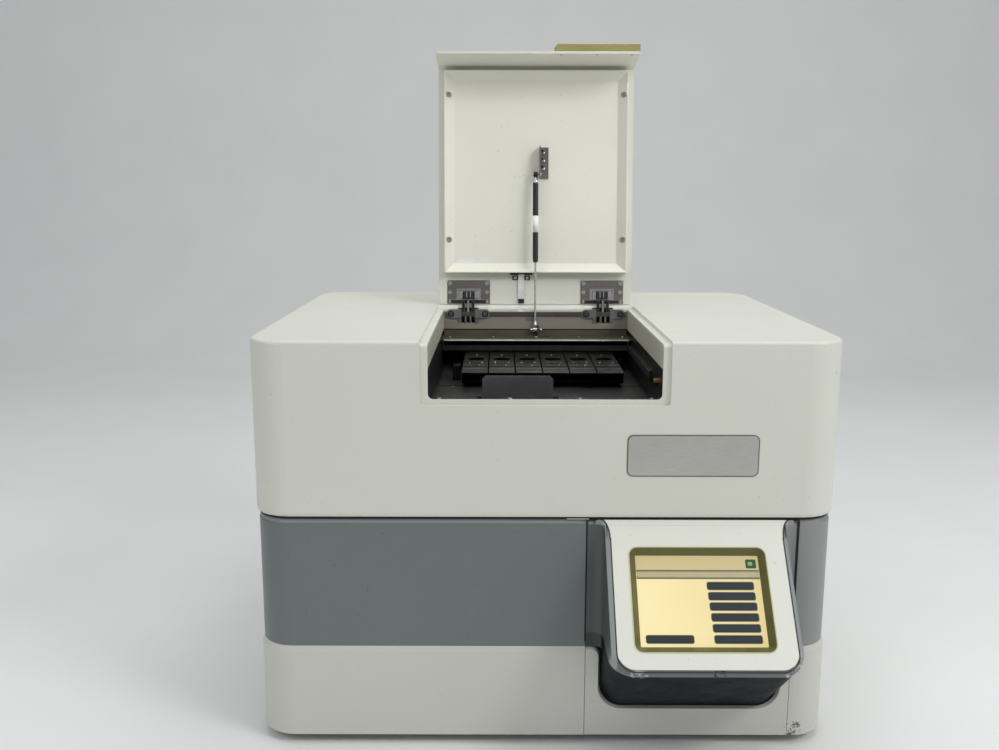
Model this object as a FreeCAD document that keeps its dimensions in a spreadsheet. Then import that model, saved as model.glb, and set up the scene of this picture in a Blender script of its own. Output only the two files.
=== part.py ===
import FreeCAD, Part
import math
import os
import Sketcher

# Bench analyser with a two-tone housing, a sample bay under a hinged lid and a
# tilted touch console. X runs to the right seen from the front, Y to the back,
# Z up. The origin is on the table under the middle of the whole outline.

Vector = FreeCAD.Vector
doc = FreeCAD.newDocument("analyser")
sheet = doc.addObject("Spreadsheet::Sheet", "dims")


class Size:
    """A length that knows its value and the sheet formula that gives it."""

    def __init__(self, value, formula):
        self.value = float(value)
        self.formula = formula

    def __add__(self, other):
        other = size(other)
        return Size(self.value + other.value, "(%s + %s)" % (self.formula, other.formula))

    def __sub__(self, other):
        other = size(other)
        return Size(self.value - other.value, "(%s - %s)" % (self.formula, other.formula))

    def __mul__(self, other):
        other = size(other)
        return Size(self.value * other.value, "(%s * %s)" % (self.formula, other.formula))

    def __truediv__(self, other):
        other = size(other)
        return Size(self.value / other.value, "(%s / %s)" % (self.formula, other.formula))

    def __neg__(self):
        return Size(-self.value, "(0 - %s)" % self.formula)

    def __radd__(self, other):
        return size(other) + self

    def __rsub__(self, other):
        return size(other) - self

    def __rmul__(self, other):
        return size(other) * self


def size(value):
    """Turn a plain number into a Size and leave a Size as it is."""
    return value if isinstance(value, Size) else Size(value, repr(float(value)))


def sine(angle):
    return Size(math.sin(math.radians(angle.value)), "sin(%s * 1 deg)" % angle.formula)


def cosine(angle):
    return Size(math.cos(math.radians(angle.value)), "cos(%s * 1 deg)" % angle.formula)


row_count = 0


def dim(alias, value):
    """Add one driving dimension to the sheet and return it as a Size."""
    global row_count
    row_count += 1
    sheet.set("A%d" % row_count, alias)
    sheet.set("B%d" % row_count, str(value))
    sheet.setAlias("B%d" % row_count, alias)
    return Size(value, "dims." + alias)


# Housing: three bands on one rounded outline.
body_width = dim("body_width", 690)
body_depth = dim("body_depth", 549)
body_height = dim("body_height", 494.5)
corner_radius = dim("corner_radius", 45)
foot_height = dim("foot_height", 12)
base_top = dim("base_top", 126)
ledge_height = dim("ledge_height", 6.5)
band_top = dim("band_top", 284.5)
band_inset = dim("band_inset", 2.5)
band_wall = dim("band_wall", 6)
band_chamfer = dim("band_chamfer", 3)
cover_bottom = dim("cover_bottom", 290.5)
cover_wall = dim("cover_wall", 7)
cover_edge = dim("cover_edge", 4)
roof = dim("roof", 8)
seal_inset = dim("seal_inset", 3)
seam_gap = dim("seam_gap", 0.5)

# Sample bay: opening through roof and front wall, with a stepped lid seat.
bay_centre = dim("bay_centre", -1.7)
bay_width = dim("bay_width", 268)
bay_back = dim("bay_back", 339)
sill_depth = dim("sill_depth", 68)
floor_drop = dim("floor_drop", 18.5)
seat_width = dim("seat_width", 9)
seat_reach = dim("seat_reach", 8.4)
seat_round = dim("seat_round", 3.9)
sill_corner = dim("sill_corner", 6)
lid_corner = dim("lid_corner", 4)
seat_depth = dim("seat_depth", 4)
seat_drop = dim("seat_drop", 6)
collar_depth = dim("collar_depth", 33)
collar_wall = dim("collar_wall", 4)
sheet_metal = dim("sheet_metal", 2)
frame_start = dim("frame_start", 14)
frame_room = dim("frame_room", 57)
floor_seam = dim("floor_seam", 179)
side_ledge = dim("side_ledge", 5)
ledge_start = dim("ledge_start", 95)
ledge_length = dim("ledge_length", 200)
ledge_rise = dim("ledge_rise", 26)
optics_back = dim("optics_back", 400)
optics_half = dim("optics_half", 24)
optics_body = dim("optics_body", 45)
optics_neck = dim("optics_neck", 66)
front_plate_left = dim("front_plate_left", -75)
front_plate_right = dim("front_plate_right", 11.5)
front_plate_back = dim("front_plate_back", 80)
front_plate_height = dim("front_plate_height", 32)

# Lid and its concealed hinges.
lid_gap = dim("lid_gap", 0.8)
lid_wall = dim("lid_wall", 3.5)
lid_round = dim("lid_round", 5)
lip_overlap = dim("lip_overlap", 5)
lip_flare = dim("lip_flare", 4)
open_angle = dim("open_angle", 96)
pivot_back = dim("pivot_back", 356.5)
pivot_drop = dim("pivot_drop", 8.8)
hinge_spacing = dim("hinge_spacing", 197)
leaf_width = dim("leaf_width", 63)
leaf_height = dim("leaf_height", 13.2)
plate_width = dim("plate_width", 62.4)
plate_height = dim("plate_height", 34)
plate_metal = dim("plate_metal", 1.4)
plate_sink = dim("plate_sink", 1.2)
window_half = dim("window_half", 16)
window_start = dim("window_start", 6.5)
window_height = dim("window_height", 14)
bar_half = dim("bar_half", 28.5)
bar_thick = dim("bar_thick", 2.6)
arm_width = dim("arm_width", 18)
arm_reach = dim("arm_reach", 16.8)
arm_drop = dim("arm_drop", 14.4)
arm_thick = dim("arm_thick", 5.1)
heel_thick = dim("heel_thick", 4.2)
finger_gap = dim("finger_gap", 3)
finger_count = dim("finger_count", 3)
hinge_slot = dim("hinge_slot", 20)
hinge_room = dim("hinge_room", 8)
slot_play = dim("slot_play", 0.8)
cheek = dim("cheek", 5)
pin_radius = dim("pin_radius", 2.5)
knuckle_radius = dim("knuckle_radius", 5)
pin_clearance = dim("pin_clearance", 0.05)
liner_gap = dim("liner_gap", 0.8)
liner_depth = dim("liner_depth", 14)
liner_floor = dim("liner_floor", 3)
liner_border = dim("liner_border", 14)
liner_start = dim("liner_start", 46)
liner_rim = dim("liner_rim", 1.5)
liner_screw = dim("liner_screw", 6.2)
liner_screw_near = dim("liner_screw_near", 34)
liner_screw_far = dim("liner_screw_far", 48)
lid_back_gap = dim("lid_back_gap", 1.2)
strike_centre = dim("strike_centre", -22.5)
strike_width = dim("strike_width", 8.6)
strike_length = dim("strike_length", 43)
strike_thick = dim("strike_thick", 3)
handle_length = dim("handle_length", 119)
handle_reach = dim("handle_reach", 10.5)
handle_height = dim("handle_height", 14)
handle_bevel = dim("handle_bevel", 5)
handle_screw = dim("handle_screw", 2.5)
grip_pitch = dim("grip_pitch", 49)
grip_end = dim("grip_end", 11.5)

# Gas strut between the shelf behind the bay and the lid.
shelf_screw_pitch = dim("shelf_screw_pitch", 62)
strut_x = dim("strut_x", -2.3)
strut_foot_back = dim("strut_foot_back", 333)
strut_foot_rise = dim("strut_foot_rise", 8)
strut_ball_run = dim("strut_ball_run", 188)
strut_ball_drop = dim("strut_ball_drop", 17)
tube_radius = dim("tube_radius", 4)
tube_length = dim("tube_length", 112)
tube_neck = dim("tube_neck", 12)
tube_bore = dim("tube_bore", 85)
rod_length = dim("rod_length", 112)
eye_width = dim("eye_width", 6)
rod_radius = dim("rod_radius", 1.6)
eye_radius = dim("eye_radius", 3.6)
stud_radius = dim("stud_radius", 1.8)

# Shelf, rails and moving sample stage.
shelf_rise = dim("shelf_rise", 45)
shelf_metal = dim("shelf_metal", 3)
shelf_front = dim("shelf_front", 298)
shelf_back = dim("shelf_back", 420)
stage_front = dim("stage_front", 164)
slot_start = dim("slot_start", 180)
slot_reach = dim("slot_reach", 60)
slot_gap = dim("slot_gap", 6)
slot_rows = dim("slot_rows", 10)
stage_back = dim("stage_back", 328)
stage_centre = dim("stage_centre", 2.3)
slot_count = dim("slot_count", 6)
slot_pitch = dim("slot_pitch", 35.5)
slot_width = dim("slot_width", 31)
slot_height = dim("slot_height", 7.2)
stage_height = dim("stage_height", 22)
plate_thick = dim("plate_thick", 4.8)
plate_seam = dim("plate_seam", 1.8)
plate_overhang = dim("plate_overhang", 5)
base_thick = dim("base_thick", 11.2)
rail_height = dim("rail_height", 3)
rail_width = dim("rail_width", 10)
rail_spacing = dim("rail_spacing", 124)
rail_length = dim("rail_length", 310)
runner_length = dim("runner_length", 119)
runner_wall = dim("runner_wall", 5)
running_gap = dim("running_gap", 0.3)

# Console panel with its tilted pod.
console_left = dim("console_left", 49)
console_right = dim("console_right", 295)
pod_centre = dim("pod_centre", 174.5)
pod_width = dim("pod_width", 211)
pod_run = dim("pod_run", 179)
pod_tilt = dim("pod_tilt", 40)
pod_corner = dim("pod_corner", 26)
pod_wall = dim("pod_wall", 6)
pod_hollow = dim("pod_hollow", 19)
side_wall = dim("side_wall", 16)
flange_thick = dim("flange_thick", 3)
flange_lap = dim("flange_lap", 4)
notch_gap = dim("notch_gap", 1.5)
horn_round = dim("horn_round", 12)
pod_blend = dim("pod_blend", 12)
rim_width = dim("rim_width", 5.5)
rim_bevel = dim("rim_bevel", 4)
face_start = dim("face_start", 6)
face_thick = dim("face_thick", 3)
face_gap = dim("face_gap", 0.4)
screen_centre = dim("screen_centre", 173)
screen_width = dim("screen_width", 141)
screen_height = dim("screen_height", 105)
screen_start = dim("screen_start", 41.5)
bezel_margin = dim("bezel_margin", 8)
bezel_corner = dim("bezel_corner", 10)
bezel_depth = dim("bezel_depth", 7)
bezel_metal = dim("bezel_metal", 1.4)
display_thick = dim("display_thick", 6)

# Rear panel and what it carries.
rear_width = dim("rear_width", 500)
rear_low = dim("rear_low", 32)
rear_high = dim("rear_high", 262)
rear_lap = dim("rear_lap", 8)
fan_size = dim("fan_size", 119)
fan_depth = dim("fan_depth", 25)
fan_bore = dim("fan_bore", 57)
fan_x = dim("fan_x", -160)
fan_z = dim("fan_z", 160)
hub_radius = dim("hub_radius", 20)
blade_count = dim("blade_count", 7)
guard_wire = dim("guard_wire", 1)
inlet_x = dim("inlet_x", 190)
inlet_z = dim("inlet_z", 78)
inlet_half = dim("inlet_half", 15)
ports_x = dim("ports_x", 60)
switch_x = dim("switch_x", 138)
rocker_width = dim("rocker_width", 13)
rocker_height = dim("rocker_height", 21)
rocker_tilt = dim("rocker_tilt", 10)
rocker_pin = dim("rocker_pin", 1.6)
screw_radius = dim("screw_radius", 3)
screw_height = dim("screw_height", 1.8)
foot_radius = dim("foot_radius", 22)
foot_margin = dim("foot_margin", 62)

# Planes worked out from the driving dimensions.
pod_nose = pod_run * sine(pod_tilt) - rim_bevel * cosine(pod_tilt) - band_inset
front = (pod_nose - body_depth) / 2
rear = front + body_depth
half_width = body_width / 2
shell_wall = band_inset + band_wall
bay_left = bay_centre - bay_width / 2
bay_right = bay_centre + bay_width / 2
sill_height = body_height - sill_depth
bay_floor = sill_height - floor_drop
plate_top = bay_floor + stage_height
shelf_height = bay_floor + shelf_rise
strut_foot_height = shelf_height + strut_foot_rise
collar_bottom = body_height - collar_depth
lip_length = sill_depth + lip_overlap
seat_left = bay_left - seat_width
seat_right = bay_right + seat_width
seat_back = front + bay_back + seat_reach
seat_top = body_height - seat_depth
pivot_y = front + pivot_back
pivot_z = body_height - pivot_drop
lid_width = bay_width + seat_width * 2 - lid_gap * 2
lid_left = seat_left + lid_gap
lid_back = seat_back - lid_back_gap
lid_inside = body_height - lid_wall
slot_low = pivot_z - arm_drop - slot_play
hinge_plate_low = lid_inside + plate_sink - plate_metal
bar_low = hinge_plate_low - bar_thick
stage_left = stage_centre - slot_pitch * slot_count / 2
stage_right = stage_centre + slot_pitch * slot_count / 2
plate_low = plate_top - plate_thick
base_low = plate_low - base_thick
frame_left = bay_left - sheet_metal
frame_right = bay_right + sheet_metal

finished = []


def place(item, label, placement=None):
    """Name a finished sub-part and put it where it belongs."""
    item.Label = label
    if placement is not None:
        item.Placement = placement
    finished.append(item)
    return item


def outline(sketch, points):
    """Draw a closed straight-sided outline with every corner tied to the sheet."""
    points = [(size(a), size(b)) for a, b in points]
    start = sketch.GeometryCount
    for index, (a, b) in enumerate(points):
        c, e = points[(index + 1) % len(points)]
        line = Part.LineSegment(Vector(a.value, b.value, 0), Vector(c.value, e.value, 0))
        sketch.addGeometry(line, False)
    for index in range(len(points)):
        following = start + (index + 1) % len(points)
        sketch.addConstraint(Sketcher.Constraint("Coincident", start + index, 2, following, 1))
    for index, point in enumerate(points):
        for kind, coordinate in zip(("DistanceX", "DistanceY"), point):
            tie = Sketcher.Constraint(kind, -1, 1, start + index, 1, coordinate.value)
            number = sketch.addConstraint(tie)
            sketch.setExpression("Constraints[%d]" % number, coordinate.formula)


def ring(sketch, centre_a, centre_b, radius):
    """Draw a circle whose centre and radius are tied to the sheet."""
    centre_a, centre_b, radius = size(centre_a), size(centre_b), size(radius)
    middle = Vector(centre_a.value, centre_b.value, 0)
    number = sketch.addGeometry(Part.Circle(middle, Vector(0, 0, 1), radius.value), False)
    ties = (
        (Sketcher.Constraint("DistanceX", -1, 1, number, 3, centre_a.value), centre_a),
        (Sketcher.Constraint("DistanceY", -1, 1, number, 3, centre_b.value), centre_b),
        (Sketcher.Constraint("Radius", number, radius.value), radius),
    )
    for tie, length in ties:
        index = sketch.addConstraint(tie)
        sketch.setExpression("Constraints[%d]" % index, length.formula)


def rounded_outline(sketch, a0, a1, b0, b1, radius):
    """Draw a rectangle with rounded corners, tied to the sheet like the others."""
    a0, a1, b0, b1, radius = [size(value) for value in (a0, a1, b0, b1, radius)]
    corners = ((a1 - radius, b0 + radius), (a1 - radius, b1 - radius),
               (a0 + radius, b1 - radius), (a0 + radius, b0 + radius))
    sides = (((a0 + radius, b0), (a1 - radius, b0)), ((a1, b0 + radius), (a1, b1 - radius)),
             ((a1 - radius, b1), (a0 + radius, b1)), ((a0, b1 - radius), (a0, b0 + radius)))
    lines = []
    for first, last in sides:
        ends = [Vector(a.value, b.value, 0) for a, b in (first, last)]
        lines.append(sketch.addGeometry(Part.LineSegment(*ends), False))
    for index, (a, b) in enumerate(corners):
        whole = Part.Circle(Vector(a.value, b.value, 0), Vector(0, 0, 1), radius.value)
        turn = math.pi / 2 * (index - 1)
        arc = sketch.addGeometry(Part.ArcOfCircle(whole, turn, turn + math.pi / 2), False)
        following = lines[(index + 1) % 4]
        sketch.addConstraint(Sketcher.Constraint("Coincident", lines[index], 2, arc, 1))
        sketch.addConstraint(Sketcher.Constraint("Coincident", arc, 2, following, 1))
        number = sketch.addConstraint(Sketcher.Constraint("Radius", arc, radius.value))
        sketch.setExpression("Constraints[%d]" % number, radius.formula)
    for line, ends in zip(lines, sides):
        for end, point in enumerate(ends, 1):
            for kind, coordinate in zip(("DistanceX", "DistanceY"), point):
                tie = Sketcher.Constraint(kind, -1, 1, line, end, coordinate.value)
                number = sketch.addConstraint(tie)
                sketch.setExpression("Constraints[%d]" % number, coordinate.formula)


def rectangle(a0, a1, b0, b1):
    return [(a0, b0), (a1, b0), (a1, b1), (a0, b1)]


def circle(centre_a, centre_b, radius):
    return (centre_a, centre_b, radius)


def rounded(a0, a1, b0, b1, radius):
    return (a0, a1, b0, b1, radius)


class Piece:
    """One sub-part made as a body of sketches and features."""

    def __init__(self, label, placement=None):
        self.body = doc.addObject("PartDesign::Body", label)
        place(self.body, label, placement)

    def plane(self, role):
        for item in self.body.Origin.OriginFeatures:
            if item.Role == role:
                return item

    def sketch(self, role, level, outlines):
        """Sketch on an origin plane. The level is measured along +Z, +Y or +X."""
        level = -size(level) if role == "XZ_Plane" else size(level)
        sketch = self.body.newObject("Sketcher::SketchObject", self.body.Name + "_sketch")
        sketch.AttachmentSupport = [(self.plane(role), "")]
        sketch.MapMode = "FlatFace"
        sketch.setExpression("AttachmentOffset.Base.z", level.formula)
        self.draw(sketch, outlines)
        return sketch

    def tilted(self, depth, outlines):
        """Sketch on the console's face plane, sunk by a depth. Its Y runs up the slope."""
        depth = size(depth)
        sketch = self.body.newObject("Sketcher::SketchObject", self.body.Name + "_sketch")
        sketch.AttachmentSupport = [(self.plane("XZ_Plane"), "")]
        sketch.MapMode = "FlatFace"
        turn = FreeCAD.Rotation(Vector(-1, 0, 0), pod_tilt.value)
        sketch.AttachmentOffset = FreeCAD.Placement(Vector(0, 0, 0), turn)
        sketch.setExpression("AttachmentOffset.Rotation.Angle", pod_tilt.formula)
        start_y = front + band_inset + depth * cosine(pod_tilt)
        start_z = band_top - depth * sine(pod_tilt)
        sketch.setExpression("AttachmentOffset.Base.y", start_z.formula)
        sketch.setExpression("AttachmentOffset.Base.z", (-start_y).formula)
        self.draw(sketch, outlines)
        return sketch

    def sunk_pad(self, depth, thick, *outlines):
        """Add a plate parallel to the pod's face, from one depth down by its thickness."""
        return self.feature("Pad", self.tilted(size(depth) + thick, outlines), thick, False)

    def sunk_pocket(self, depth, thick, *outlines):
        """Sink a pocket square to the pod's face."""
        return self.feature("Pocket", self.tilted(depth, outlines), thick, False)

    def draw(self, sketch, outlines):
        for item in outlines:
            if len(item) == 3 and isinstance(item, tuple):
                ring(sketch, *item)
            elif isinstance(item, tuple):
                rounded_outline(sketch, *item)
            else:
                outline(sketch, item)

    def feature(self, kind, sketch, length, reverse, through=False):
        feature = self.body.newObject("PartDesign::" + kind, self.body.Name + "_" + kind.lower())
        feature.Profile = sketch
        if through:
            feature.Type = "ThroughAll"
        else:
            feature.setExpression("Length", size(length).formula)
        feature.Reversed = reverse
        sketch.Visibility = False
        before = self.body.Shape.Volume if self.body.Shape and not self.body.Shape.isNull() else 0
        doc.recompute()
        after = self.body.Shape.Volume
        if kind == "Pocket" and not after < before - 1e-3:
            raise RuntimeError("a pocket in %s removes nothing" % self.body.Label)
        return feature

    def pad(self, role, level, length, *outlines):
        """Add material from the level towards +X, +Y or +Z."""
        sketch = self.sketch(role, level, outlines)
        return self.feature("Pad", sketch, length, role == "XZ_Plane")

    def pocket(self, role, level, length, *outlines):
        """Remove material from the level towards +X, +Y or +Z."""
        sketch = self.sketch(role, level, outlines)
        return self.feature("Pocket", sketch, length, role != "XZ_Plane")

    def edges(self, test):
        names = []
        for number, edge in enumerate(self.body.Tip.Shape.Edges, 1):
            if test(edge):
                names.append("Edge%d" % number)
        if not names:
            raise RuntimeError("no edge to round in %s" % self.body.Label)
        return names

    def dress(self, kind, length, test, second=None):
        """Round or bevel every edge that passes the test."""
        names = self.edges(test)
        tip = self.body.Tip
        feature = self.body.newObject("PartDesign::" + kind, self.body.Name + "_" + kind.lower())
        feature.Base = (tip, names)
        target = "Radius" if kind == "Fillet" else "Size"
        if second is not None:
            feature.ChamferType = "Two distances"
            feature.setExpression("Size2", size(second).formula)
        feature.setExpression(target, size(length).formula)
        doc.recompute()
        if not feature.isValid():
            raise RuntimeError("a %s in %s fails" % (kind.lower(), self.body.Label))
        return feature

    def fillet(self, length, test):
        return self.dress("Fillet", length, test)

    def chamfer(self, length, test, second=None):
        return self.dress("Chamfer", length, test, second)

    def pattern(self, role, spacing, count):
        """Repeat the last feature along an axis of the body."""
        item = self.body.newObject("PartDesign::LinearPattern", self.body.Name + "_pattern")
        item.Originals = [self.body.Tip]
        item.Direction = (self.plane(role), [""])
        item.Mode = "Spacing"
        item.setExpression("Offset", size(spacing).formula)
        item.setExpression("Occurrences", size(count).formula)
        self.body.Tip = item
        doc.recompute()
        return item


tolerance = 0.01


def close(a, b):
    return abs(a - size(b).value) < tolerance


def along(edge, axis):
    """True for a straight edge parallel to the given axis."""
    if not isinstance(edge.Curve, Part.Line):
        return False
    return abs(abs(edge.Curve.Direction.dot(axis)) - 1) < 1e-6


X_AXIS = Vector(1, 0, 0)
Y_AXIS = Vector(0, 1, 0)
Z_AXIS = Vector(0, 0, 1)


def on_line(axis, first, second):
    """Test for edges along an axis that run through two given coordinates."""
    def test(edge):
        if not along(edge, axis):
            return False
        point = edge.Vertexes[0].Point
        if axis == X_AXIS:
            return close(point.y, first) and close(point.z, second)
        if axis == Y_AXIS:
            return close(point.x, first) and close(point.z, second)
        return close(point.x, first) and close(point.y, second)
    return test


def any_of(*tests):
    return lambda edge: any(test(edge) for test in tests)


def at_level(level):
    """Test for edges that lie whole in one horizontal plane."""
    def test(edge):
        box = edge.BoundBox
        return close(box.ZMin, level) and close(box.ZMax, level)
    return test


def band(label, low, high, inset, wall):
    """One band of the housing: an open frame that follows the rounded outline."""
    piece = Piece(label)
    for kind, reach in ((piece.pad, inset), (piece.pocket, inset + wall)):
        kind("XY_Plane", low, high - low, housing_outline(reach))
    return piece


def housing_outline(inset):
    """The housing's outline seen from above, moved in by an inset."""
    return rounded(inset - half_width, half_width - inset, front + inset, rear - inset,
                   corner_radius - inset)


def outer_rim(level, inset):
    """Test for the outer edge loop of a band at one level."""
    def test(edge):
        if not at_level(level)(edge):
            return False
        middle = edge.valueAt((edge.FirstParameter + edge.LastParameter) / 2)
        side = abs(abs(middle.x) - (half_width - inset).value) < 0.1
        ends = abs(middle.y - (front + inset).value) < 0.1 or abs(middle.y - (rear - inset).value) < 0.1
        return side or ends or on_corner(middle, inset)
    return test


def on_corner(middle, inset):
    """True where a point lies on one of the four rounded outer corners."""
    x = abs(middle.x) - (half_width - corner_radius).value
    y = max((front + corner_radius).value - middle.y, middle.y - (rear - corner_radius).value)
    return x > 0 and y > 0 and abs(math.hypot(x, y) - (corner_radius - inset).value) < 0.1


def cut_console_bay(piece, low, high):
    """Open a band's front wall for the console panel."""
    piece.pocket("XZ_Plane", front - 1, shell_wall + 2,
                 rectangle(console_left, console_right, low, high))


def cut_rear(piece, low, high):
    """Open a band's back wall for the rear panel."""
    piece.pocket("XZ_Plane", rear - shell_wall - 1, shell_wall + 2,
                 rectangle(-(rear_width / 2), rear_width / 2, low, high))


def make_base():
    """Lower band, its steel floor and the feet."""
    shell = band("base_shell", foot_height, base_top, size(0), shell_wall)
    shell.chamfer(ledge_height, outer_rim(base_top, size(0)), band_inset)
    cut_console_bay(shell, foot_height - 1, base_top + 1)
    cut_rear(shell, rear_low, base_top + 1)

    plate = Piece("base_plate")
    plate.pad("XY_Plane", foot_height, sheet_metal, housing_outline(shell_wall))
    slot = front + slot_start
    plate.pocket("XY_Plane", foot_height - 1, sheet_metal + 2,
                 rectangle(-slot_reach, slot_reach, slot, slot + slot_gap))
    plate.pattern("Y_Axis", slot_gap * 3, slot_rows)

    feet = []
    for x in (foot_margin - half_width, half_width - foot_margin):
        for y in (front + foot_margin, rear - foot_margin):
            cone = doc.addObject("Part::Cone", "foot")
            cone.setExpression("Radius1", (foot_radius - 3).formula)
            cone.setExpression("Radius2", foot_radius.formula)
            cone.setExpression("Height", foot_height.formula)
            cone.setExpression("Placement.Base.x", x.formula)
            cone.setExpression("Placement.Base.y", y.formula)
            feet.append(cone)
    gather("foot_pads", feet)


def gather(label, parts, placement=None):
    """Bundle small loose parts into one sub-part."""
    group = doc.addObject("Part::Compound", label)
    group.Links = parts
    return place(group, label, placement)


def make_bands():
    """Dark middle band and the narrow seal that makes the shadow gap above it."""
    middle = band("mid_band", base_top, band_top, band_inset, band_wall)
    middle.chamfer(ledge_height, outer_rim(band_top, band_inset), band_chamfer)
    cut_console_bay(middle, base_top - 1, band_top + 1)
    cut_rear(middle, base_top - 1, rear_high)
    band("cover_seal", band_top, cover_bottom, seal_inset, band_wall)


def hinge_centres():
    return (("left", bay_centre - hinge_spacing / 2), ("right", bay_centre + hinge_spacing / 2))


def make_top_cover():
    """Moulded cover with the bay opening, its collar and the stepped lid seat."""
    piece = Piece("top_cover")
    piece.pad("XY_Plane", cover_bottom, body_height - cover_bottom, housing_outline(size(0)))
    piece.fillet(cover_edge, at_level(body_height))
    left, right = cover_wall - half_width, half_width - cover_wall
    near, far = front + cover_wall, rear - cover_wall
    inner = corner_radius - cover_wall
    piece.pocket("XY_Plane", cover_bottom, collar_bottom - cover_bottom, housing_outline(cover_wall))
    collar_left = bay_left - collar_wall
    collar_right = bay_right + collar_wall
    collar_back = front + bay_back + collar_wall
    piece.pocket("XY_Plane", collar_bottom, body_height - roof - collar_bottom, [
        (left + inner, near), (collar_left, near), (collar_left, collar_back),
        (collar_right, collar_back), (collar_right, near), (right - inner, near),
        (right, near + inner), (right, far - inner), (right - inner, far),
        (left + inner, far), (left, far - inner), (left, near + inner)])
    piece.pocket("XY_Plane", collar_bottom - 1, body_height + 2 - collar_bottom,
                 rectangle(bay_left, bay_right, near - 1, front + bay_back))
    piece.pocket("XZ_Plane", front - 1, cover_wall + 2,
                 rectangle(bay_left, bay_right, sill_height, body_height + 1))
    piece.fillet(sill_corner, any_of(on_line(Y_AXIS, bay_left, sill_height),
                                     on_line(Y_AXIS, bay_right, sill_height)))
    piece.pocket("XY_Plane", seat_top, seat_depth + 1,
                 rectangle(seat_left, seat_right, front - 1, seat_back))
    piece.fillet(seat_round, on_line(X_AXIS, seat_back, body_height))
    step = sill_height - seat_drop
    piece.pocket("XZ_Plane", front - 1, seat_depth + 1,
                 rectangle(seat_left, seat_right, step, body_height + 1))
    piece.fillet(lid_corner, any_of(on_line(Y_AXIS, seat_left, step),
                                    on_line(Y_AXIS, seat_right, step)))
    piece.fillet(lid_round - seat_depth + lid_wall, on_line(X_AXIS, front + seat_depth, seat_top))
    wall = front + bay_back
    half = hinge_slot / 2 + cheek + 0.2
    relief = running_gap * 2
    for side, centre in hinge_centres():
        piece.pocket("XZ_Plane", wall - 1, pivot_y + hinge_room - wall + 1,
                     rectangle(centre - half, centre + half, slot_low, pivot_z + knuckle_radius + 1))
        piece.pocket("XY_Plane", bar_low - relief, seat_top - bar_low + relief + 1, rectangle(
            centre - bar_half - relief, centre + bar_half + relief, wall - 1, seat_back))
    strike_low = lid_inside - strike_thick - relief
    strike_reach = strike_width / 2 + relief
    piece.pocket("XY_Plane", strike_low, seat_top - strike_low + 1, rectangle(
        strike_centre - strike_reach, strike_centre + strike_reach, wall - 1, seat_back))


def make_bay():
    """Folded frame, front angle, shelf and small fixed pieces of the sample bay."""
    frame = Piece("bay_frame")
    low = foot_height + sheet_metal
    high = collar_bottom - 1.5
    near = front + frame_start
    far = rear - frame_room
    frame.pad("YZ_Plane", frame_left - sheet_metal, bay_width + sheet_metal * 4,
              rectangle(near, far, low, high))
    for floor, roof_level in ((bay_floor, high + 1), (low - 1, bay_floor - sheet_metal)):
        frame.pocket("YZ_Plane", frame_left, bay_width + sheet_metal * 2,
                     rectangle(near - 1, far + 1, floor, roof_level))
    window = front + optics_back
    frame.pocket("XY_Plane", bay_floor - sheet_metal - 1, sheet_metal + 2,
                 rectangle(stage_centre - optics_half, stage_centre + optics_half,
                           window - optics_half, window + optics_half))
    seam = front + floor_seam
    frame.pocket("XY_Plane", bay_floor - sheet_metal / 2, sheet_metal,
                 rectangle(frame_left - 1, frame_right + 1, seam - 0.6, seam + 0.6))
    ledge_low = bay_floor + ledge_rise
    frame.pad("XZ_Plane", front + ledge_start, ledge_length,
              rectangle(frame_right - side_ledge, frame_right + 1, ledge_low, ledge_low + side_ledge * 2))

    lip = Piece("bay_lip")
    top = sill_height - 1
    lip.pad("YZ_Plane", frame_left, bay_width + sheet_metal * 2, [
        (near, bay_floor), (near + sheet_metal, bay_floor), (near + sheet_metal, top),
        (front + cover_wall + 0.5, top), (front + cover_wall + 0.5, top - sheet_metal),
        (near, top - sheet_metal)])

    shelf = Piece("shelf_plate")
    shelf_low = shelf_height - shelf_metal
    shelf.pad("XY_Plane", shelf_low, shelf_metal,
              rectangle(frame_left, frame_right, front + shelf_front, front + shelf_back))
    shelf.fillet(1.2, on_line(X_AXIS, front + shelf_front, shelf_height))

    bar = Piece("bay_crossbar")
    bar.pad("XZ_Plane", front + stage_back + 2, sheet_metal,
            rectangle(frame_left, frame_right, plate_top + 1, shelf_low))

    plate = Piece("front_plate")
    plate_y = front + front_plate_back
    plate_high = bay_floor + front_plate_height
    plate.pad("XZ_Plane", plate_y, sheet_metal, [
        (front_plate_left, bay_floor), (front_plate_right, bay_floor),
        (front_plate_right, plate_high - 4), (front_plate_right - 4, plate_high),
        (front_plate_left + 4, plate_high), (front_plate_left, plate_high - 4)])
    plate.pad("XY_Plane", bay_floor, sheet_metal,
              rectangle(front_plate_left + 8, front_plate_right - 8, plate_y, plate_y + 16))

    block = box_part("block", (stage_left - 13, front + 218, bay_floor), (10, 20, 20))
    post = cylinder_part("post", (stage_right + 9, front + 295, bay_floor), 5, 17, UP)
    gather("bay_stops", [block, post])
    bumper = cylinder_part("bumper", (frame_right - 5, front + 56, plate_top + 8), 4.5, 5, RIGHT)
    gather("wall_bumper", [bumper])

    rails = []
    for side in (-1, 1):
        corner = (stage_centre + rail_spacing / 2 * side - rail_width / 2,
                  front + stage_front + plate_overhang, bay_floor)
        rails.append(box_part("rail", corner, (rail_width, rail_length, rail_height)))
    gather("stage_rails", rails)


RIGHT = FreeCAD.Rotation(Vector(0, 1, 0), 90)
BACK = FreeCAD.Rotation(Vector(1, 0, 0), -90)
FORWARD = FreeCAD.Rotation(Vector(1, 0, 0), 90)
UP = FreeCAD.Rotation()
DOWN = FreeCAD.Rotation(Vector(1, 0, 0), 180)


def move_to(item, spot):
    for axis, value in zip("xyz", spot):
        item.setExpression("Placement.Base." + axis, size(value).formula)


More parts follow.
